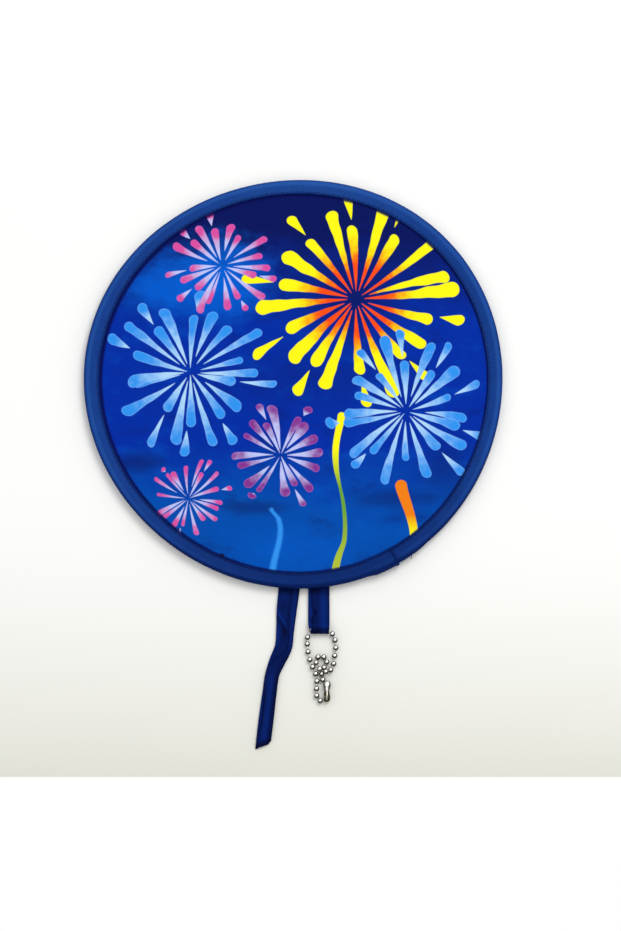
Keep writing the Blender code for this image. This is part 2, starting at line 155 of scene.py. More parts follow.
# Ball centres in ball diameters: X and Y from the middle of the strap's eye, Z above the ground
CHAIN_ROUTE = (
    (1.47, -12.86, 0.67),
    (0.24, -13.38, 0.52),
    (-0.42, -12.42, 0.50),
    (-0.46, -11.10, 0.50),
    (-0.38, -9.68, 0.50),
    (-0.60, -8.27, 0.50),
    (-1.21, -6.98, 0.50),
    (-1.70, -5.60, 0.50),
    (-2.04, -4.10, 0.50),
    (-2.20, -2.62, 0.50),
    (-2.15, -1.36, 0.62),
    (-1.33, 0.00, 0.73),
    (0.02, 0.00, 0.73),
    (1.40, 0.00, 0.73),
    (2.52, -0.73, 0.62),
    (3.03, -1.89, 0.50),
    (3.18, -3.34, 0.50),
    (2.97, -4.84, 0.50),
    (2.78, -6.36, 0.50),
    (2.20, -7.60, 0.73),
    (1.30, -7.98, 1.25),
    (0.13, -7.49, 1.20),
    (-0.52, -6.22, 0.95),
    (-0.17, -5.10, 0.50),
    (0.93, -5.10, 0.50),
    (1.48, -6.06, 0.50),
    (0.96, -7.12, 0.50),
    (0.52, -8.30, 0.50),
    (0.72, -9.40, 0.50),
    (1.53, -10.44, 0.67),
)

# First and last of the balls that lie inside the strap's eye, counted from 0
EYE_BALLS = (11, 13)

# Along Y on the paper sheet: its front edge, and where a painted shade, standing in for the light falling
# off, starts to darken it towards that edge
SHEET_EDGE = -181.0 * MM
SHEET_FAR = 6.0 * MM

# Photograph's frame and where its camera stood
FRAME_HEIGHT = 931
CAMERA_RISE = 78.3
CAMERA_DISTANCE = 2.0
CAMERA_AIM = Vector((8.95, -3.27, 3.5)) * MM
SENSOR = 36.0
MM_PER_PIXEL = 0.5703


def tone(red, green, blue):
    """A colour as it looks on a screen, from 0 to 255, as the values that a shader takes."""
    def linear(level):
        share = level / 255
        return share / 12.92 if share <= 0.04045 else ((share + 0.055) / 1.055) ** 2.4
    return tuple(linear(level) for level in (red, green, blue))


def length_setting(label, text, size):
    return FloatProperty(name=label, description=text, default=size, unit="LENGTH", precision=5, min=0.0)


def colour_setting(label, text, red, green, blue):
    colour = tone(red, green, blue)
    return FloatVectorProperty(
        name=label, description=text, default=colour, subtype="COLOR", size=3, min=0.0, max=1.0,
    )


class PanelSettings(bpy.types.PropertyGroup):
    thickness: length_setting("Thickness", "Thickness of the printed cloth", 0.35 * MM)
    pucker: length_setting("Pucker", "How far the cloth ripples beside the rim", 0.12 * MM)
    thread_pitch: length_setting("Thread Pitch", "Distance between the threads of the weave", 0.32 * MM)
    night: colour_setting("Night", "Sky at the top of the print", 9, 22, 92)
    royal: colour_setting("Royal", "Sky across the middle of the print", 2, 46, 164)
    dusk: colour_setting("Dusk", "Sky at the foot of the print", 2, 78, 175)
    cloud: colour_setting("Cloud", "Bright patches in the sky", 2, 98, 216)
    # Painted shadow colour, for the cloth beside the binding's lip
    shadow: colour_setting("Shadow", "Cloth where it dives under the binding", 6, 14, 84)
    sun: colour_setting("Sun", "Outer half of the big burst", 255, 250, 20)
    ember: colour_setting("Ember", "Inner half of the big burst", 255, 80, 15)
    sea: colour_setting("Sea", "Outer ends of the blue bursts", 50, 148, 242)
    mist: colour_setting("Mist", "Outline of the blue rays", 122, 182, 255)
    foam: colour_setting("Foam", "Inner ends of the blue bursts", 178, 220, 254)
    rose: colour_setting("Rose", "Outer ends of the pink bursts", 220, 80, 162)
    orchid: colour_setting("Orchid", "Outline of the pink and purple rays", 196, 104, 190)
    petal: colour_setting("Petal", "Inner ends of the pink bursts", 194, 200, 250)
    plum: colour_setting("Plum", "Outer ends of the purple burst", 134, 54, 146)
    leaf: colour_setting("Leaf", "Middle of the long stem", 110, 165, 55)
    lime: colour_setting("Lime", "Foot of the long stem", 185, 200, 60)
    amber: colour_setting("Amber", "Top of the short stem", 245, 130, 20)


class RimSettings(bpy.types.PropertyGroup):
    tape: length_setting("Tape", "Thickness of the binding tape", 0.5 * MM)
    lap: length_setting("Lap", "Length of the tape's second layer", 11 * MM)
    lap_fade: length_setting("Lap Fade", "Length over which the second layer dies away", 8 * MM)
    ferrule_half: length_setting("Ferrule Reach", "Half the length of the bulge over the ferrule", 13 * MM)
    ferrule_fade: length_setting("Ferrule Fade", "Length over which the bulge dies away", 7 * MM)
    ferrule_rise: length_setting("Ferrule Rise", "How far the bulge stands out", 0.5 * MM)
    hoop_thickness: length_setting("Hoop Thickness", "Thickness of the steel band", 0.5 * MM)
    sleeve: length_setting("Sleeve", "Length of the sleeve that joins the hoop's ends", 22 * MM)
    sleeve_wall: length_setting("Sleeve Wall", "Thickness of the sleeve's steel", 0.3 * MM)
    sleeve_air: length_setting("Sleeve Air", "Room between the sleeve and the hoop", 0.2 * MM)
    stitch_pitch: length_setting("Stitch Pitch", "Distance from one stitch to the next", 3.0 * MM)
    thread: length_setting("Thread", "Thickness of the sewing thread", 0.38 * MM)
    segments: IntProperty(name="Segments", description="Steps round the rim", default=420, min=60)
    blue: colour_setting("Tape Colour", "Dyed tape of the rim", 21, 61, 138)
    # Painted shade colour, for the tape's edges, folds and shaded side
    crease: colour_setting("Creased Tape", "Tape along its edges and in its folds", 4, 29, 90)
    # Painted highlight colour, for the tape's crown and lit side
    rub_marks_and_highlight: colour_setting("Rubbed Tape", "Tape rubbed pale on its crown", 42, 92, 172)
    thread_blue: colour_setting("Thread Colour", "Sewing thread", 6, 18, 74)


class StrapSettings(bpy.types.PropertyGroup):
    width: length_setting("Width", "Width of the flat strap tape", 12 * MM)
    tape: length_setting("Tape", "Thickness of the strap tape", 0.4 * MM)
    layer_rise: length_setting("Layer Rise", "Height from the lower layer's middle to the upper's", 0.7 * MM)
    slant: length_setting("Slant", "How far the long strap's end is cut back on one side", 4.0 * MM)
    blue: colour_setting("Tape Colour", "Dyed tape of the straps", 2, 25, 88)
    # Painted shade colour, for the hollows of the straps' folds
    crease: colour_setting("Creased Tape", "Tape in the hollows of its folds", 1, 6, 46)
    # Painted highlight colour, for the tops of the straps' folds
    rub_marks_and_highlight: colour_setting("Rubbed Tape", "Tape rubbed pale on its folds", 5, 43, 130)


class ChainSettings(bpy.types.PropertyGroup):
    ball: length_setting("Ball", "Diameter of a chain ball", 3.0 * MM)
    pin: length_setting("Pin", "Diameter of the pin between two balls", 0.4 * MM)
    pin_head: length_setting("Pin Head", "Diameter of the head on a pin's end", 1.2 * MM)
    clip_wall: length_setting("Clip Wall", "Thickness of the connector's metal", 0.2 * MM)
    plating: colour_setting("Plating", "Bright nickel plating", 252, 251, 247)
    # Colour of random tarnish patches and of the painted dark reflection down the sides
    tarnish_and_dark_reflection: colour_setting("Tarnish", "Dulled plating down the sides", 78, 72, 50)


class StageSettings(bpy.types.PropertyGroup):
    paper: colour_setting("Paper", "Sheet that the fan lies on", 255, 255, 253)
    # Painted shade colour of the paper at its front edge
    near_paper_shade: colour_setting("Near Paper", "The same sheet at its front edge", 228, 228, 217)
    flag: colour_setting("Flags", "Dark cards that bright metal mirrors", 18, 18, 18)
    sky: FloatProperty(name="Sky", description="Strength of the even light from all sides", default=0.75)
    key: FloatProperty(name="Key", description="Power of the large soft lamp", default=14.0, unit="POWER")


def smooth_step(value, low, high):
    """Zero up to low, one from high on, and a soft climb between."""
    share = min(max((value - low) / (high - low), 0.0), 1.0)
    return share * share * (3 - 2 * share)


def bell(value, middle, half):
    """One at the middle, falling softly to nothing at half on either side."""
    return 1 - smooth_step(abs(value - middle), 0.0, half)


def smooth_row(points, steps, closed=False):
    """A Catmull-Rom curve through the points, with the same number of steps between each pair."""
    ends = [points[-1], *points, *points[:2]] if closed else [points[0], *points, points[-1]]
    row = []
    for a, b, c, d in zip(ends, ends[1:], ends[2:], ends[3:]):
        for i in range(steps):
            t = i / steps
            row.append(tuple(
                0.5 * (2 * q + (r - p) * t + (2 * p - 5 * q + 4 * r - s) * t**2
                       + (3 * q - p - 3 * r + s) * t**3)
                for p, q, r, s in zip(a, b, c, d)
            ))
    if not closed:
        row.append(tuple(points[-1]))
    return row


def ripple(*place):
    """Smooth noise from -1 to 1, the same at each run."""
    return noise.noise(Vector(place))


# Building pieces

def add_piece(name, bm, materials, body=None, smooth_angle=None):
    """Makes the bmesh a piece of the scene at the origin, riding on a body when one is named."""
    mesh = bpy.data.meshes.new(name)
    bm.to_mesh(mesh)
    bm.free()
    mesh.shade_smooth()
    if smooth_angle:
        mesh.set_sharp_from_angle(angle=math.radians(smooth_angle))
    for material in materials:
        mesh.materials.append(material)
    piece = bpy.data.objects.new(name, mesh)
    bpy.context.scene.collection.objects.link(piece)
    if body:
        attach(piece, body)
    return piece


def apply_modifiers(piece):
    """Keeps the shape that the modifiers give and takes the modifiers away."""
    graph = bpy.context.evaluated_depsgraph_get()
    made = bpy.data.meshes.new_from_object(piece.evaluated_get(graph))
    piece.modifiers.clear()
    piece.data = made


def thicken(piece, thickness, offset=0.0):
    change = piece.modifiers.new("cloth thickness", "SOLIDIFY")
    change.thickness = thickness
    change.offset = offset
    change.use_even_offset = True


def out_of_round(point):
    """Moves a point of the rim or the panel, from the disc's middle, as the uneven hoop holds it."""
    angle = math.atan2(point.y, point.x)
    share = math.hypot(point.x, point.y) / FAN_RADIUS
    lobe = math.cos(LOBES * (angle - math.radians(LOBE_ANGLE)))
    grown = 1 + OUT_OF_ROUND / FAN_RADIUS * share ** (LOBES - 1) * lobe
    point.x *= grown
    point.y *= grown


def bend_across_fold(piece):
    """The piece crosses the fold line, so it turns smoothly from one half of the fan to the other."""
    reach = Vector((0, FOLD_REACH, 0))
    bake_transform(piece, "lower_half", "upper_half", start=DISC - reach, end=DISC + reach)


def turned(profile, steps, angle=math.tau, start=0.0):
    """A surface turned about Z from (radius, height) pairs."""
    bm = bmesh.new()
    row = [bm.verts.new((radius, 0, height)) for radius, height in profile]
    edges = [bm.edges.new(pair) for pair in zip(row, row[1:])]
    if profile[0][0] > 0 and profile[-1][0] > 0:
        edges.append(bm.edges.new((row[-1], row[0])))
    turn = Matrix.Rotation(start, 3, "Z")
    bmesh.ops.rotate(bm, verts=row, cent=(0, 0, 0), matrix=turn)
    full = abs(abs(angle) - math.tau) < 1e-6
    bmesh.ops.spin(
        bm, geom=row + edges, cent=(0, 0, 0), axis=(0, 0, 1), angle=angle, steps=steps, use_merge=full,
    )
    bmesh.ops.remove_doubles(bm, verts=bm.verts, dist=0.002 * MM)
    if not full:
        bmesh.ops.holes_fill(bm, edges=[edge for edge in bm.edges if edge.is_boundary], sides=0)
    bmesh.ops.recalc_face_normals(bm, faces=bm.faces)
    return bm


def round_profile(radius, steps, start=-90.0, end=90.0):
    """(radius, height) pairs along a ball's outline, from one latitude to another."""
    pairs = []
    for i in range(steps + 1):
        latitude = math.radians(start + (end - start) * i / steps)
        on_axis = abs(math.cos(latitude)) < 1e-6
        pairs.append((0.0 if on_axis else radius * math.cos(latitude), radius * math.sin(latitude)))
    return pairs


def eased(corners, ease):
    """A closed profile with each of its corners cut off a little."""
    points = []
    for i, corner in enumerate(corners):
        for other in (corners[i - 1], corners[(i + 1) % len(corners)]):
            share = ease / math.dist(corner, other)
            points.append(tuple(a + (b - a) * share for a, b in zip(corner, other)))
    return points


def aim(bm, direction):
    """Lays a shape that stands on Z along a direction."""
    turn = Vector((0, 0, 1)).rotation_difference(direction).to_matrix()
    bmesh.ops.rotate(bm, verts=bm.verts, cent=(0, 0, 0), matrix=turn)


def move(bm, place):
    bmesh.ops.translate(bm, verts=bm.verts, vec=place)


def absorb(bm, other):
    """Adds another bmesh's shape to this one."""
    mesh = bpy.data.meshes.new("part")
    other.to_mesh(mesh)
    other.free()
    bm.from_mesh(mesh)
    bpy.data.meshes.remove(mesh)


def store_flat_map(bm, unrolled):
    """Writes the UV map that the cloth materials read, from a function of each corner's point."""
    flat = bm.loops.layers.uv.new("cloth")
    for face in bm.faces:
        for corner in face.loops:
            corner[flat].uv = unrolled(corner.vert.co, face)


def cloth_strip(across, along, width, length, place, crease):
    """A flat grid of cloth with its own UV map, each point then moved where place says. The last
    argument gives each point's painted highlight, above zero, or painted shade, below it."""
    bm = bmesh.new()
    bmesh.ops.create_grid(bm, x_segments=across, y_segments=along, size=0.5)
    store_flat_map(bm, lambda point, face: (point.x * width, (point.y + 0.5) * length))
    creasing_and_painted_light = bm.verts.layers.float.new("crease")
    for vert in bm.verts:
        u, travelled = vert.co.x, (vert.co.y + 0.5) * length
        vert[creasing_and_painted_light] = crease(u, travelled)
        vert.co = place(u, travelled)
    return bm


# Materials

class Field:
    """A value that changes over a surface. Arithmetic on it adds Math nodes."""

    def __init__(self, finish, socket):
        self.finish = finish
        self.socket = socket

    def __add__(self, other):
        return self.finish.math("ADD", self, other)

    def __sub__(self, other):
        return self.finish.math("SUBTRACT", self, other)

    def __mul__(self, other):
        return self.finish.math("MULTIPLY", self, other)

    def __truediv__(self, other):
        return self.finish.math("DIVIDE", self, other)

    def __pow__(self, other):
        return self.finish.math("POWER", self, other)

    def __rsub__(self, other):
        return self.finish.math("SUBTRACT", other, self)

    def __neg__(self):
        return self.finish.math("MULTIPLY", self, -1.0)

    __radd__ = __add__
    __rmul__ = __mul__


class Nodes:
    """A node tree, and the ways to add nodes to it."""

    def __init__(self, tree):
        self.tree = tree
        self.tree.nodes.clear()

    def node(self, kind, settings, sockets):
        """One node: its settings first, then the value or link of each named socket."""
        made = self.tree.nodes.new(kind)
        for key, value in settings.items():
            if key == "stops":
                self.set_stops(made.color_ramp, value)
            elif key == "ramp_curve":
                made.color_ramp.interpolation = value
            else:
                setattr(made, key, value)
        for key, value in sockets.items():
            place = made.inputs[key]
            if isinstance(value, Field):
                self.tree.links.new(value.socket, place)
            elif place.type == "RGBA":
                place.default_value = (*value, 1.0)
            else:
                place.default_value = value
        return made

    def set_stops(self, ramp, stops):
        while len(ramp.elements) < len(stops):
            ramp.elements.new(1.0)
        for element, (position, colour) in zip(ramp.elements, stops):
            element.position = position
            element.color = (*colour, 1.0)

    def field(self, kind, settings, sockets, output=0):
        return Field(self, self.node(kind, settings, sockets).outputs[output])

    def math(self, operation, *values, clamp=False):
        settings = {"operation": operation, "use_clamp": clamp}
        return self.field("ShaderNodeMath", settings, dict(enumerate(values)))


class Finish(Nodes):
    """A material with one shader, and the ways to paint it."""

    def __init__(self, name, **constants):
        self.material = bpy.data.materials.new(name)
        self.material.use_nodes = True
        super().__init__(self.material.node_tree)
        self.shader = self.node("ShaderNodeBsdfPrincipled", {}, constants)
        self.node("ShaderNodeOutputMaterial", {}, {"Surface": Field(self, self.shader.outputs[0])})

    def step(self, value, low, high):
        """Zero up to low, one from high on, and a soft climb between."""
        settings = {"interpolation_type": "SMOOTHSTEP"}
        sockets = {"Value": value, "From Min": low, "From Max": high}
        return self.field("ShaderNodeMapRange", settings, sockets)

    def mix(self, share, first, second):
        """A colour between two colours."""
        sockets = {0: share, 6: first, 7: second}
        return self.field("ShaderNodeMix", {"data_type": "RGBA"}, sockets, output=2)

    def ramp(self, value, stops):
        return self.field("ShaderNodeValToRGB", {"stops": stops}, {"Fac": value})

    def attribute(self, name):
        return self.field("ShaderNodeAttribute", {"attribute_name": name}, {}, output="Fac")

    def channels(self, colour):
        """The three channels of a colour, as values."""
        split = self.node("ShaderNodeSeparateColor", {}, {0: colour})
        return [Field(self, split.outputs[i]) for i in range(3)]

    def flat_map(self):
        """The two directions of the piece's own cloth map, in millimetres."""
        place = self.field("ShaderNodeUVMap", {"uv_map": "cloth"}, {})
        split = self.node("ShaderNodeSeparateXYZ", {}, {0: place})
        return Field(self, split.outputs[0]) * 1000.0, Field(self, split.outputs[1]) * 1000.0

    def point(self, x, y, z=0.0):
        return self.field("ShaderNodeCombineXYZ", {}, {0: x, 1: y, 2: z})

    def object_point(self):
        return self.field("ShaderNodeTexCoord", {}, {}, output="Object")

    def clouds(self, place, scale, detail=3.0, roughness=0.5):
        sockets = {"Vector": place, "Scale": scale, "Detail": detail, "Roughness": roughness}
        return self.field("ShaderNodeTexNoise", {}, sockets)

    def bump(self, height, strength, distance):
        sockets = {"Strength": strength, "Distance": distance, "Height": height}
        return self.field("ShaderNodeBump", {}, sockets)

    def feed(self, socket, value):
        self.tree.links.new(value.socket, self.shader.inputs[socket])


def plain_weave(finish, across, along, pitch):
    """Height of a plain weave: threads that pass over and under each other, one pitch apart."""
    warp = across * (math.pi / pitch)
    weft = along * (math.pi / pitch)
    over = finish.math("SINE", warp) * finish.math("SINE", weft)
    warp_round = finish.math("ABSOLUTE", finish.math("SINE", warp + weft))
    weft_round = finish.math("ABSOLUTE", finish.math("SINE", warp - weft))
    share = finish.step(over, -0.35, 0.35)
    return warp_round * share + weft_round * (1.0 - share)


class Burst(NamedTuple):
    """A firework: its middle, reach and ray width in mm from the disc's middle. Its short rays stop
    and its long ones start at a share of its reach, and a share of its rays has a loose drop beyond.
    Colours are named from the heart outwards."""
    middle: tuple
    reach: float
    sectors: int
    ray_width: float
    short_stop: float
    long_start: float
    loose: float
    heart: str
    tip: str
    edge: str
    seed: int


BURSTS = {
    "big": Burst((35.0, 48.1), 65.0, 10, 7.8, 0.66, 0.05, 0.95, "ember", "sun", "sun", 3),
    "left": Burst((-59.8, 4.8), 48.5, 10, 6.3, 0.54, 0.08, 0.90, "foam", "sea", "mist", 8),
    "pink": Burst((-42.3, 68.2), 32.0, 9, 4.6, 0.58, 0.10, 0.85, "petal", "rose", "orchid", 5),
    "purple": Burst((-8.1, -43.6), 33.0, 8, 5.2, 0.60, 0.10, 0.40, "petal", "plum", "orchid", 12),
    "right": Burst((63.8, -18.1), 48.5, 10, 6.5, 0.56, 0.08, 0.90, "foam", "sea", "mist", 21),
    "low": Burst((-60.8, -69.3), 25.0, 9, 3.1, 0.58, 0.10, 0.50, "petal", "rose", "orchid", 17),
}


class Stem(NamedTuple):
    """A rising trail: X, Y and width down its middle line in mm from the disc's middle, how far
    its edges fade, and the colours of its top, middle and foot."""
    route: tuple
    fade: float
    colours: tuple


STEMS = {
    "long": Stem((
        (27.2, -20.8, 4.6),
        (24.1, -31.9, 3.6),
        (22.9, -41.9, 3.8),
        (23.5, -52.4, 2.9),
        (25.5, -61.1, 1.5),
        (27.4, -69.8, 2.1),
        (28.6, -81.4, 2.3),
        (28.3, -92.9, 2.5),
        (25.1, -99.8, 3.7),
        (22.6, -108.5, 4.3),
    ), 0.3, ("sun", "leaf", "lime")),
    "amber": Stem((
        (60.0, -61.5, 7.0),
        (63.2, -70.8, 6.2),
        (66.2, -80.1, 5.2),
        (67.6, -88.2, 4.6),
    ), 0.3, ("amber", "amber", "sun")),
    "blue": Stem((
        (-14.2, -75.5, 2.2),
        (-8.6, -80.1, 2.6),
        (-7.6, -89.4, 2.8),
        (-10.4, -99.7, 3.2),
        (-12.8, -109.5, 3.8),
    ), 1.0, ("sea", "sea", "sea")),
}


class Sector(NamedTuple):
    """Where a point lies in its own sector of a burst: beside its middle line, out along it, and
    three chances from 0 to 1 that are the same all over the sector."""
    side: Field
    out: Field
    chances: list


def burst_sector(finish, radius, turn, burst, shift):
    """Shift turns the sectors by a share of one, so that two rings of rays stand between each other."""
    cells = finish.math("FRACT", turn + shift / burst.sectors) * float(burst.sectors)
    number = finish.math("FLOOR", cells)
    seed = number + (burst.seed * 31.7 + shift * 5.0)
    dice = finish.field("ShaderNodeTexWhiteNoise", {"noise_dimensions": "1D"}, {"W": seed}, output="Color")
    chances = finish.channels(dice)
    lean = (chances[0] - 0.5) * 0.24
    off = (cells - number - 0.5 - lean) * (math.tau / burst.sectors)
    out = radius * finish.math("COSINE", off)
    bend = out * out * ((chances[1] - 0.5) * 0.26 / burst.reach)
    side = radius * finish.math("SINE", off) + bend
    return Sector(side, out, chances)


def paint_drop(finish, under, sector, start, stop, width, shown, burst, hand, colours):
    """A drop that is pointed at its start and round at its stop, in colours that run like a wash,
    sooner in some drops than in others. Hand holds two soft noises: the wash of the colours and the
    wobble of the outline."""
    wash, wobble = hand
    sooner = sector.chances[1] - 0.5
    cap = width * 0.5
    share = finish.math("DIVIDE", sector.out - start, stop - cap - start, clamp=True)
    past = sector.out - start - share * (stop - cap - start)
    gap = finish.math("SQRT", sector.side * sector.side + past * past)
    swell = cap * (0.04 + 0.96 * share ** 0.95)
    depth = swell - gap + (wobble - 0.5) * (swell * 0.5)
    heart, tip, edge = (tuple(getattr(colours, name)) for name in (burst.heart, burst.tip, burst.edge))
    if burst.heart == "ember":
        glow = sector.out + sooner * (0.26 * burst.reach) + (wash - 0.5) * (0.20 * burst.reach)
        drop = finish.mix(finish.step(glow, 0.20 * burst.reach, 0.50 * burst.reach), heart, tip)
    else:
        skin = finish.mix(finish.step(depth, -0.2, 0.9) * 0.6 + 0.4, edge, tip)
        pale = 0.34 if burst.heart == "petal" else 0.12
        run = share + sooner * 0.24 + (wash - 0.5) * 0.6
        drop = finish.mix(finish.step(run, pale, 1.0), heart, skin)
    return finish.mix(finish.step(depth, -0.25, 0.25) * shown, under, drop)


def paint_burst(finish, under, x, y, burst, colours):
    """Short rays, some with a loose drop beyond, and long rays that start further out between them."""
    dx = x - burst.middle[0]
    dy = y - burst.middle[1]
    radius = finish.math("SQRT", dx * dx + dy * dy)
    turn = finish.math("ARCTAN2", dy, dx) / math.tau + 1.0
    reach = burst.reach
    wash = finish.clouds(finish.point(x * 0.16, y * 0.16), 1.4, detail=1.5)
    wobble = finish.clouds(finish.point(x * 0.09, y * 0.09), 1.4, detail=0.0)

    def drop(under, sector, start, stop, grown, shown=1.0):
        width = grown * burst.ray_width
        return paint_drop(finish, under, sector, start, stop, width, shown, burst, (wash, wobble), colours)

    sector = burst_sector(finish, radius, turn, burst, 0.0)
    first, second, third = sector.chances
    stop = reach * (burst.short_stop + 0.20 * second)
    picture = drop(under, sector, reach * (0.03 + 0.10 * third), stop, 0.66 + 0.36 * first)
    tilted = sector._replace(side=sector.side - sector.out * (third - 0.5) * 0.16)
    loose = finish.math("LESS_THAN", third, burst.loose)
    end = reach * (0.92 + 0.14 * first)
    picture = drop(picture, tilted, stop + reach * 0.05, end, 0.74 + 0.3 * second, loose)
    between = burst_sector(finish, radius, turn, burst, 0.5)
    first, second, third = between.chances
    start = reach * burst.long_start * (1.0 + 2.0 * second)
    return drop(picture, between, start, reach * (0.72 + 0.26 * third), 0.80 + 0.34 * first)


def paint_stem(finish, under, x, y, stem, colours):
    """A wavering stroke: a ramp down its height holds where its middle runs and how wide it is."""
    top = stem.route[0][1]
    foot = stem.route[-1][1]
    left = min(point[0] for point in stem.route)
    span = max(point[0] for point in stem.route) - left
    widest = max(point[2] for point in stem.route)
    down = finish.math("DIVIDE", top - y, top - foot, clamp=True)
    stops = []
    for px, py, width in stem.route:
        stops.append(((top - py) / (top - foot), ((px - left) / span, width / widest, 0.0)))
    bend = finish.field("ShaderNodeValToRGB", {"stops": stops, "ramp_curve": "B_SPLINE"}, {"Fac": down})
    centre, swell, _ = finish.channels(bend)
    side = x - (left + span * centre)
    over = finish.math("MAXIMUM", y - top, 0.0)
    gap = finish.math("SQRT", side * side + over * over)
    first, second, third = (tuple(getattr(colours, name)) for name in stem.colours)
    shade = finish.ramp(down, [(0.0, first), (0.22, first), (0.48, second), (0.62, second), (1.0, third)])
    return finish.mix(finish.step(swell * (widest / 2) - gap, -stem.fade, stem.fade), under, shade)


# Soft patches in the sky: middle and reach in mm, and how bright, or below zero how dark
SKY_PATCHES = (
    ((-74.0, 56.0), (36.0, 26.0), 0.80),
    ((-42.0, 60.0), (40.0, 36.0), 0.95),
    ((10.0, 0.0), (88.0, 24.0), -0.28),
    ((35.0, 48.0), (36.0, 34.0), -0.80),
    ((-88.0, -47.7), (22.0, 9.0), -0.60),
    ((-22.6, -74.4), (28.0, 7.0), -0.50),
    ((57.0, -68.6), (34.0, 8.0), -0.50),
    ((86.0, -52.0), (24.0, 30.0), -0.40),
    ((0.0, -98.0), (50.0, 20.0), 0.30),
)


def paint_sky(finish, x, y, colours):
    """Wash of blues, dark at the top and lighter at the foot, with soft clouds."""
    drift = finish.clouds(finish.point(x * 0.012, y * 0.02), 1.6, detail=4.0, roughness=0.55)
    grain = finish.clouds(finish.point(x * 0.05, y * 0.07), 1.5, detail=5.0, roughness=0.6)
    level = y / 230.0 + 0.5 + (drift - 0.5) * 0.24 + (grain - 0.5) * 0.10
    night, royal, dusk = (tuple(getattr(colours, name)) for name in ("night", "royal", "dusk"))
    sky = finish.ramp(level, [(0.06, dusk), (0.16, dusk), (0.34, royal), (0.64, royal), (0.88, night)])
    haze = finish.clouds(finish.point(x * 0.02, y * 0.035), 1.7, detail=5.0, roughness=0.6)
    low = 1.0 - finish.step(level, 0.60, 0.85)
    sky = finish.mix(finish.step(haze, 0.52, 0.70) * low * 0.24, sky, tuple(colours.cloud))
    sky = finish.mix(finish.step(haze, 0.47, 0.30) * 0.38, sky, tuple(colours.night))
    for middle, reach, strength in SKY_PATCHES:
        dx = (x - middle[0]) / reach[0]
        dy = (y - middle[1]) / reach[1]
        away = finish.math("SQRT", dx * dx + dy * dy) + (grain - 0.5) * 0.9
        glow = (1.0 - finish.step(away, 0.1, 1.0)) * abs(strength)
        sky = finish.mix(glow, sky, tuple(colours.cloud if strength > 0 else colours.night))
    return sky


def print_colour(finish, x, y, colours):
    picture = paint_sky(finish, x, y, colours)
    for name in ("big", "left", "pink"):
        picture = paint_burst(finish, picture, x, y, BURSTS[name], colours)
    for name in ("long", "amber", "blue"):
        picture = paint_stem(finish, picture, x, y, STEMS[name], colours)
    for name in ("purple", "right", "low"):
        picture = paint_burst(finish, picture, x, y, BURSTS[name], colours)
    return picture


def printed_cloth(colours):
    """Thin polyester cloth with the print dyed into it, paler where the dye has only come through,
    with a painted shadow where it dives under the lip of the binding, and painted shade between its threads."""
    finish = Finish("printed cloth", **{"Specular IOR Level": 0.03})
    x, y = finish.flat_map()
    pitch = colours.thread_pitch / MM
    picture = print_colour(finish, x, y, colours)
    threads = plain_weave(finish, x, y, pitch)
    slub = finish.clouds(finish.point(x * 0.4, y * 0.05), 3.0, detail=2.0)
    picture = finish.mix(finish.attribute("back") * 0.42, picture, tone(214, 220, 236))
    # Painted shadow on the cloth inside the binding's lip, wider on one side as a cast shadow would be
    lip = (FAN_RADIUS - LIP_INSET) / MM
    radius = finish.math("SQRT", x * x + y * y) + (slub - 0.5) * 0.6
    ring = 1.9 + finish.math("DIVIDE", 0.34 * y - 0.94 * x, radius + 1.0) * 0.6
    rim_shadow = finish.step(radius + ring, lip, lip + 1.2)
    picture = finish.mix(rim_shadow * 0.94, picture, tuple(colours.shadow))
    # Painted shade between the threads, with random slub in the tone
    shaded = finish.mix((1.0 - threads) * 0.05 + (slub - 0.5) * 0.04, picture, tuple(colours.night))
    finish.feed("Base Color", shaded)
    finish.feed("Roughness", 0.66 + 0.10 * slub - 0.05 * threads)
    finish.feed("Normal", finish.bump(threads + slub * 0.6, 0.25, 0.00005))
    return finish.material


def tape_cloth(name, colour, pitch, painted_shade_colour, painted_highlight_colour):
    """Dyed woven tape, its threads along and across the strip, with uneven dye, painted shade between its
    threads, and painted shade and highlights from the piece's attribute.
    """
    finish = Finish(name, **{"Specular IOR Level": 0.04})
    across, along = finish.flat_map()
    threads = plain_weave(finish, across, along, pitch)
    slub = finish.clouds(finish.point(across * 1.5, along * 0.12), 2.0, detail=3.0)
    dye = finish.clouds(finish.point(across * 0.12, along * 0.05), 1.3, detail=2.0)
    dark = tuple(level * 0.72 for level in colour)
    light = tuple(min(level * 1.28, 1.0) for level in colour)
    shade = finish.mix(0.5 + (dye - 0.5) * 0.9 + (slub - 0.5) * 0.5, dark, light)
    # Painted shade and highlight from the piece's attribute, with a little random slub in it
    crease = finish.attribute("crease") + (slub - 0.5) * 0.25
    shade = finish.mix(finish.math("MULTIPLY", crease, -1.0, clamp=True), shade, painted_shade_colour)
    shade = finish.mix(finish.math("MULTIPLY", crease, 1.0, clamp=True), shade, painted_highlight_colour)
    # Painted shade between the threads
    shade = finish.mix((1.0 - threads) * 0.14, shade, dark)
    finish.feed("Base Color", shade)
    finish.feed("Roughness", 0.64 + 0.12 * slub - 0.08 * threads)
    finish.feed("Normal", finish.bump(threads + 0.5 * slub, 0.35, 0.00006))
    return finish.material


def thread_finish(colour):
    """Twisted sewing thread with a soft shine."""
    finish = Finish("sewing thread", **{"Specular IOR Level": 0.12})
    place = finish.object_point()
    ply = finish.clouds(place, 2600.0, detail=2.0)
    dark = tuple(level * 0.5 for level in colour)
    finish.feed("Base Color", finish.mix(ply, dark, tuple(level * 1.5 for level in colour)))
    finish.feed("Roughness", 0.42 + 0.2 * ply)
    finish.feed("Normal", finish.bump(ply, 0.4, 0.00005))
    return finish.material


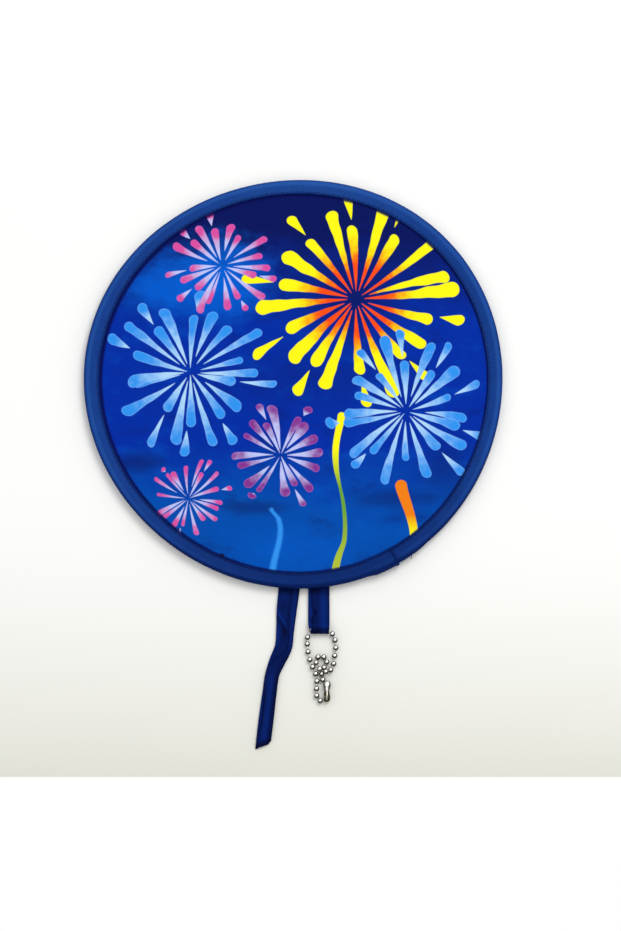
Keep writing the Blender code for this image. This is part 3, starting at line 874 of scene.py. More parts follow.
def spring_steel():
    """Blued spring-steel band with rolling marks along it."""
    finish = Finish("spring steel", **{"Metallic": 1.0})
    place = finish.object_point()
    marks = finish.clouds(place, 900.0, detail=3.0)
    blotch = finish.clouds(place, 60.0, detail=2.0)
    finish.feed("Base Color", finish.mix(blotch, tone(150, 152, 156), tone(182, 182, 184)))
    finish.feed("Roughness", 0.28 + 0.18 * marks)
    finish.feed("Normal", finish.bump(marks, 0.1, 0.00003))
    return finish.material


def bright_plating(name, settings, roughness):
    """Nickel plating with fine rubbing marks: bright on top, with a brownish painted dark reflection down
    its sides, from the piece's attribute, and random patches of tarnish.
    """
    finish = Finish(name, **{"Metallic": 1.0, "Specular Tint": tone(120, 116, 100)})
    place = finish.object_point()
    rub_marks_and_highlight = finish.clouds(place, 1500.0, detail=3.0)
    patches = finish.step(finish.clouds(place, 420.0, detail=2.0), 0.52, 0.72)
    # Painted dark reflection from the attribute, with random tarnish patches
    tarnish_and_painted_dark = finish.math("MAXIMUM", finish.attribute("grime"), patches * 0.22)
    finish.feed("Base Color", finish.mix(tarnish_and_painted_dark, tuple(settings.plating), tuple(settings.tarnish_and_dark_reflection)))
    finish.feed("Roughness", roughness + 0.10 * rub_marks_and_highlight + 0.12 * tarnish_and_painted_dark)
    finish.feed("Normal", finish.bump(rub_marks_and_highlight, 0.06, 0.00003))
    return finish.material


# Printed panel

def panel_height(x, y, pucker):
    """The stretched cloth is flat but for small ripples that the stitches pull into its edge."""
    radius = math.hypot(x, y)
    angle = math.atan2(y, x)
    near_rim = smooth_step(radius / PANEL_RADIUS, 0.70, 0.96)
    ring = Vector((math.cos(angle), math.sin(angle), 0)) * 5.0
    pulled = ripple(ring.x * 2.2, ring.y * 2.2, 1.7) + 0.6 * ripple(ring.x * 5.0, ring.y * 5.0, 4.1)
    slack = ripple(x * 14.0, y * 14.0, 8.0)
    return pucker * (pulled * near_rim + 1.4 * slack * (1 - near_rim))


def mark_back(panel):
    """Marks the faces of the cloth's back, where the print only shows through."""
    back = panel.data.attributes.new("back", "FLOAT", "FACE")
    for face in panel.data.polygons:
        back.data[face.index].value = 1.0 if face.normal.z < 0 else 0.0


def make_panel(settings, segments):
    rings = 58
    row = [(PANEL_RADIUS * i / rings, 0.0) for i in range(rings + 1)]
    bm = turned(row, segments)
    if sum(face.normal.z for face in bm.faces) < 0:
        bmesh.ops.reverse_faces(bm, faces=bm.faces)
    store_flat_map(bm, lambda point, face: (point.x, point.y))
    for vert in bm.verts:
        vert.co.z = panel_height(vert.co.x, vert.co.y, settings.pucker)
        out_of_round(vert.co)
    move(bm, DISC)
    panel = add_piece("printed_panel", bm, [printed_cloth(settings)])
    thicken(panel, settings.thickness)
    apply_modifiers(panel)
    mark_back(panel)
    bend_across_fold(panel)
    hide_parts("panel_lower", "panel_upper")


# Rim binding, hoop and stitching

def tape_section(grow=0.0):
    """(radius, height) pairs round the folded tape, smooth, as a closed loop."""
    upper = [(FAN_RADIUS - inward * MM, height * MM) for inward, height in TAPE_OUTSIDE]
    lower = [(radius, -height) for radius, height in reversed(upper[:-1])]
    inside = [(FAN_RADIUS - inward * MM, height * MM) for inward, height in TAPE_INSIDE]
    inside_lower = [(radius, -height) for radius, height in reversed(inside[1:])]
    outside = smooth_row(upper + lower, 2)
    return outside + inside_lower + inside


def rim_swell(angle, settings):
    """How far the tape stands out over the ferrule, at an angle in degrees."""
    off = abs((angle - LAP_ANGLE + 180) % FULL_TURN - 180)
    away = math.radians(off) * HOOP_RADIUS
    fade = smooth_step(away, settings.ferrule_half, settings.ferrule_half + settings.ferrule_fade)
    return settings.ferrule_rise * (1 - fade)


def shape_rim_point(point, settings):
    """Swells the rim over the ferrule and lets the tape ripple slightly along its length."""
    radius = math.hypot(point.x, point.y)
    angle = math.atan2(point.y, point.x)
    ring = (math.cos(angle) * 9.0, math.sin(angle) * 9.0)
    swell = rim_swell(math.degrees(angle), settings)
    over_band = smooth_step(radius, FAN_RADIUS - 6.5 * MM, FAN_RADIUS - 3.2 * MM)
    at_wall = smooth_step(radius, FAN_RADIUS - 3.0 * MM, FAN_RADIUS - 0.6 * MM)
    pull = 0.09 * MM * ripple(ring[0], ring[1], 2.0)
    height_share = point.z / RIM_HALF
    point.z += height_share * (swell * over_band + pull + 0.05 * MM * ripple(ring[0] * 3, ring[1] * 3, 5.0))
    out = swell * at_wall + 0.05 * MM * ripple(ring[0], ring[1], 9.0)
    lip_wave = (1 - smooth_step(radius, FAN_RADIUS - 8.6 * MM, FAN_RADIUS - 6.6 * MM)) * 0.10 * MM
    out += lip_wave * ripple(ring[0] * 4, ring[1] * 4, 7.0)
    grown = (radius + out) / radius
    point.x *= grown
    point.y *= grown
    out_of_round(point)


def section_girth():
    """Distance round the tape's section to each of its radius and height pairs."""
    section = tape_section()
    reach = [0.0]
    for near, far in zip(section, section[1:]):
        reach.append(reach[-1] + math.dist(near, far))
    return section, reach


def store_rim_map(bm):
    """Unrolls the rim: across the tape round its section, and along it round the fan."""
    section, reach = section_girth()
    across = {}
    for vert in bm.verts:
        place = (math.hypot(vert.co.x, vert.co.y), vert.co.z)
        nearest = min(range(len(section)), key=lambda i: math.dist(section[i], place))
        across[vert] = reach[nearest]
    flat = bm.loops.layers.uv.new("cloth")
    for face in bm.faces:
        middle = face.calc_center_median()
        by_the_join = middle.x < 0 and abs(middle.y) < 3 * MM
        for corner in face.loops:
            point = corner.vert.co
            angle = math.atan2(point.y, point.x)
            if by_the_join and middle.y * point.y <= 0 and point.x < 0:
                angle = math.copysign(math.pi, middle.y)
            corner[flat].uv = (across[corner.vert], angle * FAN_RADIUS)


def rim_painted_light(point):
    """How pale or dark the tape is painted, standing in for light and shade: a painted highlight on its
    crown, painted shade along its outer wall and its lip and all over on the side of the straps, and a
    little painted light on the far side."""
    inward = (FAN_RADIUS - math.hypot(point.x, point.y)) / MM
    angle = math.degrees(math.atan2(point.y, point.x))
    # Painted shade all over the side of the straps
    shaded_side = bell(angle, -84.0, 82.0)
    wall = 1 - smooth_step(inward, 0.1, 1.0 + 2.0 * shaded_side)
    crown = bell(inward, 2.4, 1.8) * (1 - 0.8 * shaded_side)
    lip = smooth_step(inward, 7.3, 8.3)
    # Painted light on the far side of the rim
    lit_far_side = bell(angle, 84.0, 48.0) * (1 - lip) * (1 - wall)
    return 0.50 * crown - 0.75 * wall - 0.80 * lip - 0.72 * shaded_side + 0.30 * lit_far_side


def shape_rim(bm, settings):
    creasing_and_painted_light = bm.verts.layers.float.new("crease")
    for vert in bm.verts:
        # Painted light and shade of the tape, kept on each point
        vert[creasing_and_painted_light] = rim_painted_light(vert.co)
        shape_rim_point(vert.co, settings)


def make_binding(settings, material):
    bm = turned(tape_section(), settings.segments, start=math.pi)
    store_rim_map(bm)
    shape_rim(bm, settings)
    move(bm, DISC)
    binding = add_piece("rim_binding", bm, [material])
    bend_across_fold(binding)
    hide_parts("binding_lower", "binding_upper")


def lap_section(settings):
    """The second layer's section: the tape's outside, one tape thickness further out."""
    upper = [(FAN_RADIUS - inward * MM, height * MM) for inward, height in TAPE_OUTSIDE]
    under = smooth_row(upper + [(radius, -height) for radius, height in reversed(upper[:-1])], 2)
    over = []
    for i, (radius, height) in enumerate(under):
        before = under[max(i - 1, 0)]
        after = under[min(i + 1, len(under) - 1)]
        run = Vector((after[0] - before[0], after[1] - before[1])).normalized()
        over.append((radius + -run.y * settings.tape, height + run.x * settings.tape))
    return under, over


def past_cut_end(point):
    """How far along the rim a point lies from the tape's cut end, over the lap."""
    return (math.radians(LAP_ANGLE) - math.atan2(point.y, point.x)) * FAN_RADIUS


def make_lap(settings, material):
    """The tape's cut end, folded round the rim over its own beginning, down to a feathered edge."""
    under, over = lap_section(settings)
    length = settings.lap + settings.lap_fade
    sweep = length / FAN_RADIUS
    bm = turned(over + under[::-1], 24, angle=-sweep, start=math.radians(LAP_ANGLE))
    store_rim_map(bm)
    for vert in bm.verts:
        along = past_cut_end(vert.co)
        share = 1 - smooth_step(along, settings.lap, length)
        place = (math.hypot(vert.co.x, vert.co.y), vert.co.z)
        base = min(under, key=lambda pair: math.dist(pair, place))
        kept = max(share, 0.04) * (1.0 + 0.9 * bell(along, 0.0, 2.4 * MM))
        radius = base[0] + (place[0] - base[0]) * kept
        vert.co.x *= radius / place[0]
        vert.co.y *= radius / place[0]
        vert.co.z = base[1] + (place[1] - base[1]) * kept
    shape_rim(bm, settings)
    creasing_and_painted_light = bm.verts.layers.float["crease"]
    for vert in bm.verts:
        # Painted shade along the tape's cut end, where its step throws a shadow
        vert[creasing_and_painted_light] -= 1.6 * bell(past_cut_end(vert.co), 0.0, 1.3 * MM)
    move(bm, DISC)
    lap = add_piece("binding_lap", bm, [material], "lower_half", smooth_angle=50)


def make_hoop(settings, steel):
    """The flat spring band on edge, with rounded edges, open for a millimetre inside the ferrule."""
    inner = HOOP_RADIUS - settings.hoop_thickness
    corners = [(inner, -HOOP_HALF), (HOOP_RADIUS, -HOOP_HALF), (HOOP_RADIUS, HOOP_HALF), (inner, HOOP_HALF)]
    profile = eased(corners, 0.12 * MM)
    gap = 1.0 * MM / HOOP_RADIUS
    bm = turned(profile, settings.segments, angle=math.tau - gap, start=math.radians(LAP_ANGLE) + gap / 2)
    for vert in bm.verts:
        out_of_round(vert.co)
    move(bm, DISC)
    hoop = add_piece("spring_hoop", bm, [steel], smooth_angle=50)
    bend_across_fold(hoop)
    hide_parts("hoop_top_arc", "hoop_left_arc", "hoop_right_arc")


def make_sleeve(settings, steel):
    """A strip of steel crimped round the hoop's two ends, its seam on the inner side."""
    middle = HOOP_RADIUS - settings.hoop_thickness / 2
    half = settings.hoop_thickness / 2 + settings.sleeve_air
    high = HOOP_HALF + settings.sleeve_air
    wide = half + settings.sleeve_wall
    tall = high + settings.sleeve_wall
    seam = 0.15 * MM
    inside = [(-half, seam), (-half, high), (half, high), (half, -high), (-half, -high), (-half, -seam)]
    outside = [(-wide, -seam), (-wide, -tall), (wide, -tall), (wide, tall), (-wide, tall), (-wide, seam)]
    profile = eased([(middle + x, z) for x, z in inside + outside], 0.1 * MM)
    sweep = settings.sleeve / HOOP_RADIUS
    bm = turned(profile, 24, angle=sweep, start=math.radians(LAP_ANGLE) - sweep / 2)
    for vert in bm.verts:
        out_of_round(vert.co)
    move(bm, DISC)
    sleeve = add_piece("hoop_sleeve", bm, [steel], "lower_half", smooth_angle=50)
    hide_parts("hoop_ferrule")


def one_stitch():
    """The shape that every stitch is stretched from: a thread that dives in at both ends."""
    bm = bmesh.new()
    bmesh.ops.create_uvsphere(bm, u_segments=6, v_segments=6, radius=1.0)
    mesh = bpy.data.meshes.new("stitch")
    bm.to_mesh(mesh)
    bm.free()
    return mesh


def add_stitch(bm, place, direction, length, thread):
    """Adds one stitch along a direction."""
    turn = Vector((0, 0, 1)).rotation_difference(direction).to_matrix().to_4x4()
    size = Matrix.Diagonal((thread / 2, thread / 2, length / 2, 1.0))
    stitch = one_stitch() if "stitch" not in bpy.data.meshes else bpy.data.meshes["stitch"]
    laid = stitch.copy()
    laid.transform(Matrix.Translation(place) @ turn @ size)
    bm.from_mesh(laid)
    bpy.data.meshes.remove(laid)


def on_rim(degrees, inward, height):
    """The ways out and along at an angle, and a point there, in mm in from the wall and up."""
    angle = math.radians(degrees)
    out = Vector((math.cos(angle), math.sin(angle), 0))
    along = Vector((-out.y, out.x, 0))
    place = out * (FAN_RADIUS - inward * MM) + Vector((0, 0, height * MM))
    out_of_round(place)
    return out, along, DISC + place


def make_rim_stitching(settings, thread):
    """A row of lockstitch through both lips of the tape, seen on both faces of the fan."""
    count = round(math.tau * (FAN_RADIUS - STITCH_INSET * MM) / settings.stitch_pitch)
    for face, side in (("front", 1), ("back", -1)):
        bm = bmesh.new()
        for i in range(count):
            angle = math.tau * (i + 0.5) / count
            wander = 0.12 * ripple(math.cos(angle) * 20, math.sin(angle) * 20, 3.0)
            out, along, place = on_rim(math.degrees(angle), STITCH_INSET - wander, side * STITCH_LEVEL)
            lean = (along + out * 0.06).normalized()
            add_stitch(bm, place, lean, settings.stitch_pitch * 0.84, settings.thread)
        row = add_piece(f"rim_stitching_{face}", bm, [thread])
        bend_across_fold(row)


def make_lap_stitching(settings, thread):
    """Stitches that close the lap on both faces, and the few that catch its inner corner."""
    bm = bmesh.new()
    lap_in = math.degrees(1.6 * MM / FAN_RADIUS)
    for inward, height in ((7.0, 1.70), (5.2, 2.55), (3.4, 3.22), (1.7, 3.30)):
        for side in (1, -1):
            out, along, place = on_rim(LAP_ANGLE - lap_in, inward, side * height)
            slope = Vector((out.x, out.y, side * -0.28 if inward < 2 else side * 0.34)).normalized()
            add_stitch(bm, place, slope, 1.5 * MM, settings.thread)
    for i in range(5):
        out, along, place = on_rim(LAP_ANGLE - 0.75 - 0.2 * i, 7.6 + 0.3 * (i % 2), 1.15)
        lean = (out + along * 0.4 + Vector((0, 0, 0.3))).normalized()
        add_stitch(bm, place, lean, 2.4 * MM, settings.thread * 1.3)
    add_piece("lap_stitching", bm, [thread], "lower_half")


def make_tack(settings, thread):
    """A few stitches set close together, over the lip where its seam ends."""
    bm = bmesh.new()
    for i in range(5):
        out, along, place = on_rim(TACK_ANGLE + (i - 2) * 0.34, 9.5 + 0.35 * (i % 2), 0.62)
        lean = (out + along * (0.35 * (i - 2)) + Vector((0, 0, 0.22))).normalized()
        add_stitch(bm, place, lean, 2.5 * MM, settings.thread * 1.5)
    add_piece("seam_tack", bm, [thread], "lower_half")


def make_loose_thread(settings, thread):
    """A snipped end of thread that stands off the rim's outer wall."""
    out, along, root = on_rim(LOOSE_THREAD_ANGLE, -0.2, 0.6)
    path = [root, root + out * 0.8 * MM + along * 0.2 * MM, root + out * 1.5 * MM - along * 0.3 * MM]
    path.append(root + out * 2.0 * MM - along * 1.0 * MM + Vector((0, 0, 0.3 * MM)))
    bm = bmesh.new()
    points = [Vector(point) for point in smooth_row([tuple(point) for point in path], 4)]
    for near, far in zip(points, points[1:]):
        step = far - near
        add_stitch(bm, near + step / 2, step.normalized(), step.length * 1.7, settings.thread)
    add_piece("loose_thread", bm, [thread], "lower_half")


# Straps

def long_strap_stations():
    """Middle point, width and crease height in metres, with the distance along the strap."""
    rows = smooth_row(LONG_STRAP_ROUTE, 12)
    stations = []
    along = 0.0
    for i, (x, out, share, crease) in enumerate(rows):
        if i:
            along += math.dist(rows[i - 1][:2], (x, out)) * MM
        stations.append((along, Vector((x * MM, SEAM_Y - out * MM, 0)), share, crease * MM))
    return stations


def station_at(stations, along):
    """The strap's middle, direction, width share and crease height at a distance along it."""
    last = len(stations) - 2
    i = next((i for i in range(last + 1) if stations[i + 1][0] >= along), last)
    near, far = stations[i], stations[i + 1]
    share = min(max((along - near[0]) / (far[0] - near[0]), 0.0), 1.0)
    before = stations[max(i - 1, 0)][1]
    after = stations[min(i + 2, len(stations) - 1)][1]
    direction = (after - before).normalized()
    middle = near[1].lerp(far[1], share)
    return middle, direction, near[2] + (far[2] - near[2]) * share, near[3] + (far[3] - near[3]) * share


def flap_line(out):
    """Where the folded-in edge of the tape runs: share of the width from the middle, out in mm."""
    start = 0.13 + 0.11 * smooth_step(out, 22, 38)
    across = -0.68 * smooth_step(out, 40, 60) + 0.22 * smooth_step(out, 60, 78)
    return start + across - 0.16 * smooth_step(out, 84, 100)


def long_strap_height(u, out, crease):
    """Height of the cloth above its flat layer, u from -0.5 to 0.5 across and out in mm."""
    line = flap_line(out)
    flap = 0.34 * MM * smooth_step(u, line - 0.012, line + 0.035)
    groove = -0.16 * MM * bell(u, line - 0.03, 0.05)
    ridge = crease * smooth_step(u, line - 0.10, line + 0.05) * (1 - 0.85 * smooth_step(u, line + 0.06, 0.5))
    slant = (out - 19.0) / 9.0 - (u + 0.5) / 0.6
    buckle = 0.50 * MM * bell(slant, 0.0, 0.75) * (1 - smooth_step(u, 0.0, 0.14))
    left_band = 0.70 * MM * bell(u, -0.40, 0.17) * bell(out, 36, 16)
    right_band = 0.35 * MM * bell(u, 0.30, 0.16) * bell(out, 36, 18)
    sway = 0.12 * MM * ripple(u * 3.0, out * 0.11, 2.0)
    return max(flap + groove + ridge + buckle + left_band + right_band + sway, -0.05 * MM)


def long_strap_painted_light(u, out):
    """Painted shade, below zero, and painted highlight, above it, on the closing strap: in and on its folds,
    a painted shadow under the rim, and painted shade at its end.
    """
    line = flap_line(out)
    upper = 1 - smooth_step(out, 38, 48)
    lower = smooth_step(out, 52, 64)
    bent = 1 - upper - lower if out > 38 else 0.0
    shade = -0.80 * bell(u, line - 0.03, 0.07) * (0.55 + 0.45 * lower)
    shade += 0.35 * upper * bell(u, 0.5 * (line + 0.5), 0.16)
    shade -= 0.75 * smooth_step(u, 0.42, 0.50)
    shade -= 0.40 * bell(u, -0.20, 0.20) * bell(out, 18.4, 3.4)
    shade += 0.25 * bell(u, -0.22, 0.22) * bell(out, 13.5, 3.0)
    ahead = out - 21.0 - 16.0 * (u + 0.5)
    shade += 0.75 * bell(ahead, 0.0, 2.6) * (1 - smooth_step(u, 0.0, 0.12))
    shade -= 0.55 * bell(ahead, 3.8, 3.0) * (1 - smooth_step(u, 0.05, 0.2))
    shade -= 0.65 * bell(u, -0.03, 0.26) * bell(out, 34, 9)
    shade += 0.60 * bell(u, -0.40, 0.13) * bell(out, 34, 13)
    shade += bent * (0.25 * bell(u, -0.44, 0.12) - 0.35 * smooth_step(u, 0.1, 0.3) - 0.12)
    # Painted highlight streaks down the lower part
    streak = 0.7 + 0.3 * math.sin(u * 34.0)
    shade += lower * 0.60 * streak * bell(u, -0.02, 0.28) * (1 - smooth_step(out, 95, 99))
    shade += lower * 0.20 * smooth_step(line - u, 0.06, 0.14) * bell(out, 80, 16)
    shade -= lower * 0.70 * smooth_step(u, 0.14, 0.32)
    shade -= 0.80 * smooth_step(out, 97.0, 99.5) + 0.45 * (1 - smooth_step(out, 9.5, 12.5 + 2.0 * u))
    return min(max(shade, -1.0), 1.0)


def make_long_strap(settings, material, thread):
    stations = long_strap_stations()
    length = stations[-1][0]
    fold = math.pi * settings.layer_rise / 2
    total = 2 * length + fold

    def place(u, travelled):
        returning = travelled > length + fold
        along = min(travelled, length) if not returning else total - travelled
        middle, direction, share, crease = station_at(stations, along)
        across = Vector((-direction.y, direction.x, 0))
        out = along / MM
        near_end = smooth_step(along, length - 9 * MM, length)
        cut_back = near_end * (settings.slant * (u + 0.5) + 1.6 * MM * smooth_step(u, 0.30, 0.5))
        height = long_strap_height(u, out, crease)
        point = middle + across * u * settings.width * share - direction * cut_back
        turn = min(max((travelled - length) / fold, 0.0), 1.0) * math.pi
        rise = settings.layer_rise * (1 - math.cos(turn)) / 2
        point += direction * settings.layer_rise * math.sin(turn) / 2
        point.z = settings.tape / 2 + rise + height * (0.9 + 0.1 * rise / settings.layer_rise)
        return point

    # Painted light and shade along the strap, the same on both layers
    def crease(u, travelled):
        return long_strap_painted_light(u, min(travelled, total - travelled) / MM)

    bm = cloth_strip(40, 300, settings.width, total, place, crease)
    strap = add_piece("closing_strap", bm, [material], "long_strap")
    thicken(strap, settings.tape)
    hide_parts("long_strap")

    bm = bmesh.new()
    pitch = 2.6 * MM
    for i in range(int((length - 16 * MM) / pitch)):
        travelled = total - 9 * MM - i * pitch
        u = flap_line((total - travelled) / MM) + 0.085
        here = place(u, travelled)
        ahead = place(u, travelled - 0.5 * MM)
        lift = Vector((0, 0, settings.tape / 2 + 0.02 * MM))
        add_stitch(bm, here + lift, (ahead - here).normalized(), pitch * 0.8, 0.22 * MM)
    add_piece("closing_strap_stitching", bm, [thread], "long_strap")


def eye_span(chain, eye):
    """X of the clear stretch of the eye's fold, from the pin on its left to the ball on its right."""
    first, last = EYE_BALLS
    inside, outside = (Vector(CHAIN_ROUTE[i]) * chain.ball for i in (first, first - 1))
    way = outside - inside
    crossing = inside.x + way.x * (-eye - inside.y) / way.y
    left = crossing + (chain.pin / 2 + 0.3 * MM) * way.length / abs(way.y)
    right = CHAIN_ROUTE[last + 1][0] * chain.ball - chain.ball / 2 - 0.3 * MM
    return left, right


def eye_radius(tape):
    """From the middle of the short strap's eye to the middle of the tape round it."""
    return (SHORT_HIGH.z - SHORT_LOW.z - tape) / 2


def short_strap_place(settings):
    """A function that lays the folded hanging tab round the chain, and the tab's whole length."""
    tape = settings.tape
    eye = eye_radius(tape)
    reach = SEAM_Y - SHORT_LOW.y - eye - tape / 2
    middle = tape / 2 + eye
    half = settings.width / 2
    left, right = eye_span(bpy.context.scene.fan_chain, eye)
    low = tape / 2 + settings.layer_rise
    path = [(0.0, tape / 2, 0.0), (0.35 * reach, tape / 2, 0.0), (reach - 1.5 * eye, tape / 2, 0.0)]
    path.append((reach - 0.25 * eye, tape / 2, 1.0))
    for degrees in range(-90, 151, 12):
        bend = math.radians(degrees)
        drawn = min(2.0 - degrees / 90, 1.0)
        path.append((reach + eye * math.cos(bend), middle + eye * math.sin(bend), drawn))
    top = path[-1]
    for share in (0.2, 0.4, 0.6, 0.8, 1.0):
        drop = smooth_step(share, 0.0, 1.0)
        drawn = top[2] * max(1.0 - 3.0 * share, 0.0)
        path.append((top[0] - 5.0 * MM * share, top[1] + (low - top[1]) * drop, drawn))
    path += [(0.6 * reach, low, 0.0), (0.3 * reach, low, 0.0), (0.0, low, 0.0)]
    path = smooth_row(path, 5)
    run = [0.0]
    for near, far in zip(path, path[1:]):
        run.append(run[-1] + math.dist(near[:2], far[:2]))

    def place(u, travelled):
        i = next((i for i in range(len(run) - 2) if run[i + 1] >= travelled), len(run) - 2)
        share = min(max((travelled - run[i]) / (run[i + 1] - run[i]), 0.0), 1.0)
        out, height, drawn = (a + (b - a) * share for a, b in zip(path[i], path[i + 1]))
        start = -half + (left + half) * drawn
        stop = half + (right - half) * drawn
        upper = travelled > run[-1] / 2
        creasing_and_painted_light = short_strap_height(u, out / MM) if upper else 0.0
        x = SHORT_X + start + (stop - start) * (u + 0.5)
        return Vector((x, SEAM_Y - out, height + creasing_and_painted_light))

    return place, run[-1]


def tab_crease(out):
    """Where the tab's long crease runs: share of the width from the middle, out in mm."""
    return -0.32 + 0.09 * bell(out, 21.5, 5.0) + 0.02 * math.sin(out * 0.9)


def short_strap_height(u, out):
    """Creases on the tab's upper layer, u from -0.5 to 0.5 across and out in mm."""
    line = tab_crease(out)
    groove = -0.22 * MM * bell(u, line, 0.06)
    left = 0.26 * MM * smooth_step(line - u, 0.0, 0.06)
    body = 0.22 * MM * bell(u, 0.16, 0.40)
    pull = 0.40 * MM * bell(u, -0.05, 0.16) * bell(out, 27, 9)
    dip = -0.28 * MM * bell(u, -0.20, 0.12) * bell(out, 22, 8)
    fade = smooth_step(out, 0.0, 4.0) * (1 - smooth_step(out, 30, 35))
    wrinkle = 0.10 * MM * ripple(u * 4.0, out * 0.2, 6.0)
    return (0.25 * MM + groove + left + body + pull + dip + wrinkle) * fade


def short_strap_painted_light(u, out):
    """Painted shade, below zero, and painted highlight, above it, on the hanging tab: in and on its folds, a
    painted shadow under the rim, and painted shade along its edges and at its end.
    """
    line = tab_crease(out)
    shade = -0.75 * bell(u, line, 0.07)
    shade -= 0.80 * bell(u, line + 0.05, 0.12) * (bell(out, 21.5, 2.4) + bell(out, 26.6, 2.6))
    shade += 0.45 * smooth_step(line - u, 0.05, 0.12)
    shade += 0.60 * bell(u, 0.22, 0.26) - 0.20 * bell(u, -0.12, 0.12)
    shade -= 0.55 * smooth_step(u, 0.45, 0.5) + 0.40 * smooth_step(-u, 0.46, 0.5)
    shade -= 0.90 * smooth_step(out, 31.4, 33.0) + 0.60 * (1 - smooth_step(out, 9.5, 13.5 + 3.0 * u))
    return min(max(shade, -1.0), 1.0)


def make_short_strap(settings, material):
    place, total = short_strap_place(settings)

    # Painted light and shade along the tab, the same on both layers
    def crease(u, travelled):
        return short_strap_painted_light(u, min(travelled, total - travelled) / MM)

    bm = cloth_strip(40, 180, settings.width, total, place, crease)
    strap = add_piece("hanging_tab", bm, [material], "short_strap")
    thicken(strap, settings.tape)
    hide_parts("short_strap")


def make_strap_seams(settings, thread):
    """Two rows of stitches across each strap, which hold it to the back of the rim."""
    long_x = LONG_STRAP_ROUTE[0][0] * MM
    for name, body, middle_x in (("closing", "long_strap", long_x), ("hanging", "short_strap", SHORT_X)):
        bm = bmesh.new()
        for row in (1.6, 4.4):
            for i in range(5):
                x = middle_x + (i - 2) * 2.3 * MM
                place = Vector((x, SEAM_Y - row * MM, settings.layer_rise + settings.tape))
                add_stitch(bm, place, Vector((1, 0, 0)), 2.0 * MM, 0.3 * MM)
        add_piece(f"{name}_seam", bm, [thread], body)


# Chain and connector

def chain_centres(ball):
    tape = bpy.context.scene.fan_strap.tape
    eye = eye_radius(tape)
    origin = Vector((SHORT_X, SHORT_LOW.y + eye + tape / 2, 0))
    return [origin + Vector(point) * ball for point in CHAIN_ROUTE]


def ball_outline(settings):
    """A pressed ball: round, with a rolled-in mouth at each pole where a pin passes."""
    radius = settings.ball / 2
    mouth = 0.36 * MM
    latitude = math.degrees(math.acos(mouth / radius))
    outside = round_profile(radius, 18, -latitude, latitude)
    top = outside[-1][1]
    rolled = [(mouth - 0.05 * MM, top - 0.06 * MM), (mouth - 0.03 * MM, top - 0.28 * MM)]
    lip = rolled + [(0.0, top - 0.34 * MM)]
    return [(r, -z) for r, z in reversed(lip)] + outside + lip


def pin_outline(settings, length):
    """A rod from inside one ball to its round head in the next."""
    head = settings.pin_head / 2
    rod = settings.pin / 2
    root = settings.ball / 2 - 0.4 * MM
    start = -math.degrees(math.acos(rod / head))
    neck = [(rod * 1.7, root), (rod * 1.7, root + 0.35 * MM), (rod, root + 0.5 * MM)]
    return [(0.0, root)] + neck + [(r, z + length) for r, z in round_profile(head, 6, start, 90)]


def paint_dark_reflections(piece, clip_dark_reflection=None):
    """Marks a bright piece's painted dark reflection: down its sides, and where the given function says so.
    """
    grime = piece.data.attributes.new("grime", "FLOAT", "POINT")
    for vert in piece.data.vertices:
        # Painted dark reflection away from a way up that leans back
        up = vert.normal.dot(Vector((-0.10, 0.28, 0.95)))
        dark_reflection = 1 - smooth_step(up, 0.42, 0.90)
        grime.data[vert.index].value = max(dark_reflection, clip_dark_reflection(vert.co)) if clip_dark_reflection else dark_reflection


def make_chain(settings, material):
    centres = chain_centres(settings.ball)
    socket = settings.ball / 2 - 1.0 * MM
    for i, centre in enumerate(centres):
        ahead = centres[min(i + 1, len(centres) - 1)] - centre
        behind = centre - centres[max(i - 1, 0)]
        bm = turned(ball_outline(settings), 28)
        aim(bm, (ahead.normalized() + behind.normalized()).normalized() if i else ahead)
        if i < len(centres) - 1:
            pin = turned(pin_outline(settings, ahead.length - socket), 10)
            aim(pin, ahead)
            absorb(bm, pin)
        move(bm, centre)
        ball = add_piece(f"chain_ball_{i + 1:02d}", bm, [material], "chain", smooth_angle=50)
        paint_dark_reflections(ball)
        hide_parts(f"chain_bead_{i + 1:02d}")
    return centres


def connector_outline(settings, span):
    """The pressed clip's outline, from the open seat's end to the closed seat's end."""
    seat = settings.ball / 2 + 0.2 * MM
    body = seat + settings.clip_wall
    bulb = seat + settings.clip_wall * 1.5
    tip = 0.8 * MM
    waist = 1.3 * MM
    reach = 2.3 * MM
    return [
        (0.0, -span - reach),
        (tip, -span - reach),
        (body * 0.80, -span - reach * 0.76),
        (body * 0.97, -span - reach * 0.42),
        (body, -span),
        (body * 0.98, -span + seat * 0.6),
        (body * 0.90, -span + seat),
        (waist * 1.12, -0.22 * span),
        (waist, 0.0),
        (waist * 1.04, 0.14 * span),
        (bulb * 0.84, span - seat * 0.95),
        (bulb * 0.97, span - seat * 0.50),
        (bulb, span),
        (bulb * 0.95, span + seat * 0.5),
        (bulb * 0.78, span + reach * 0.80),
        (tip, span + reach),
        (0.0, span + reach),
    ]


def cut_out(piece, cutter_bm):
    """Cuts a shape out of a piece."""
    cutter = add_piece("cutter", cutter_bm, [])
    change = piece.modifiers.new("cut", "BOOLEAN")
    change.operation = "DIFFERENCE"
    change.solver = "EXACT"
    change.object = cutter
    apply_modifiers(piece)
    bpy.data.objects.remove(cutter)


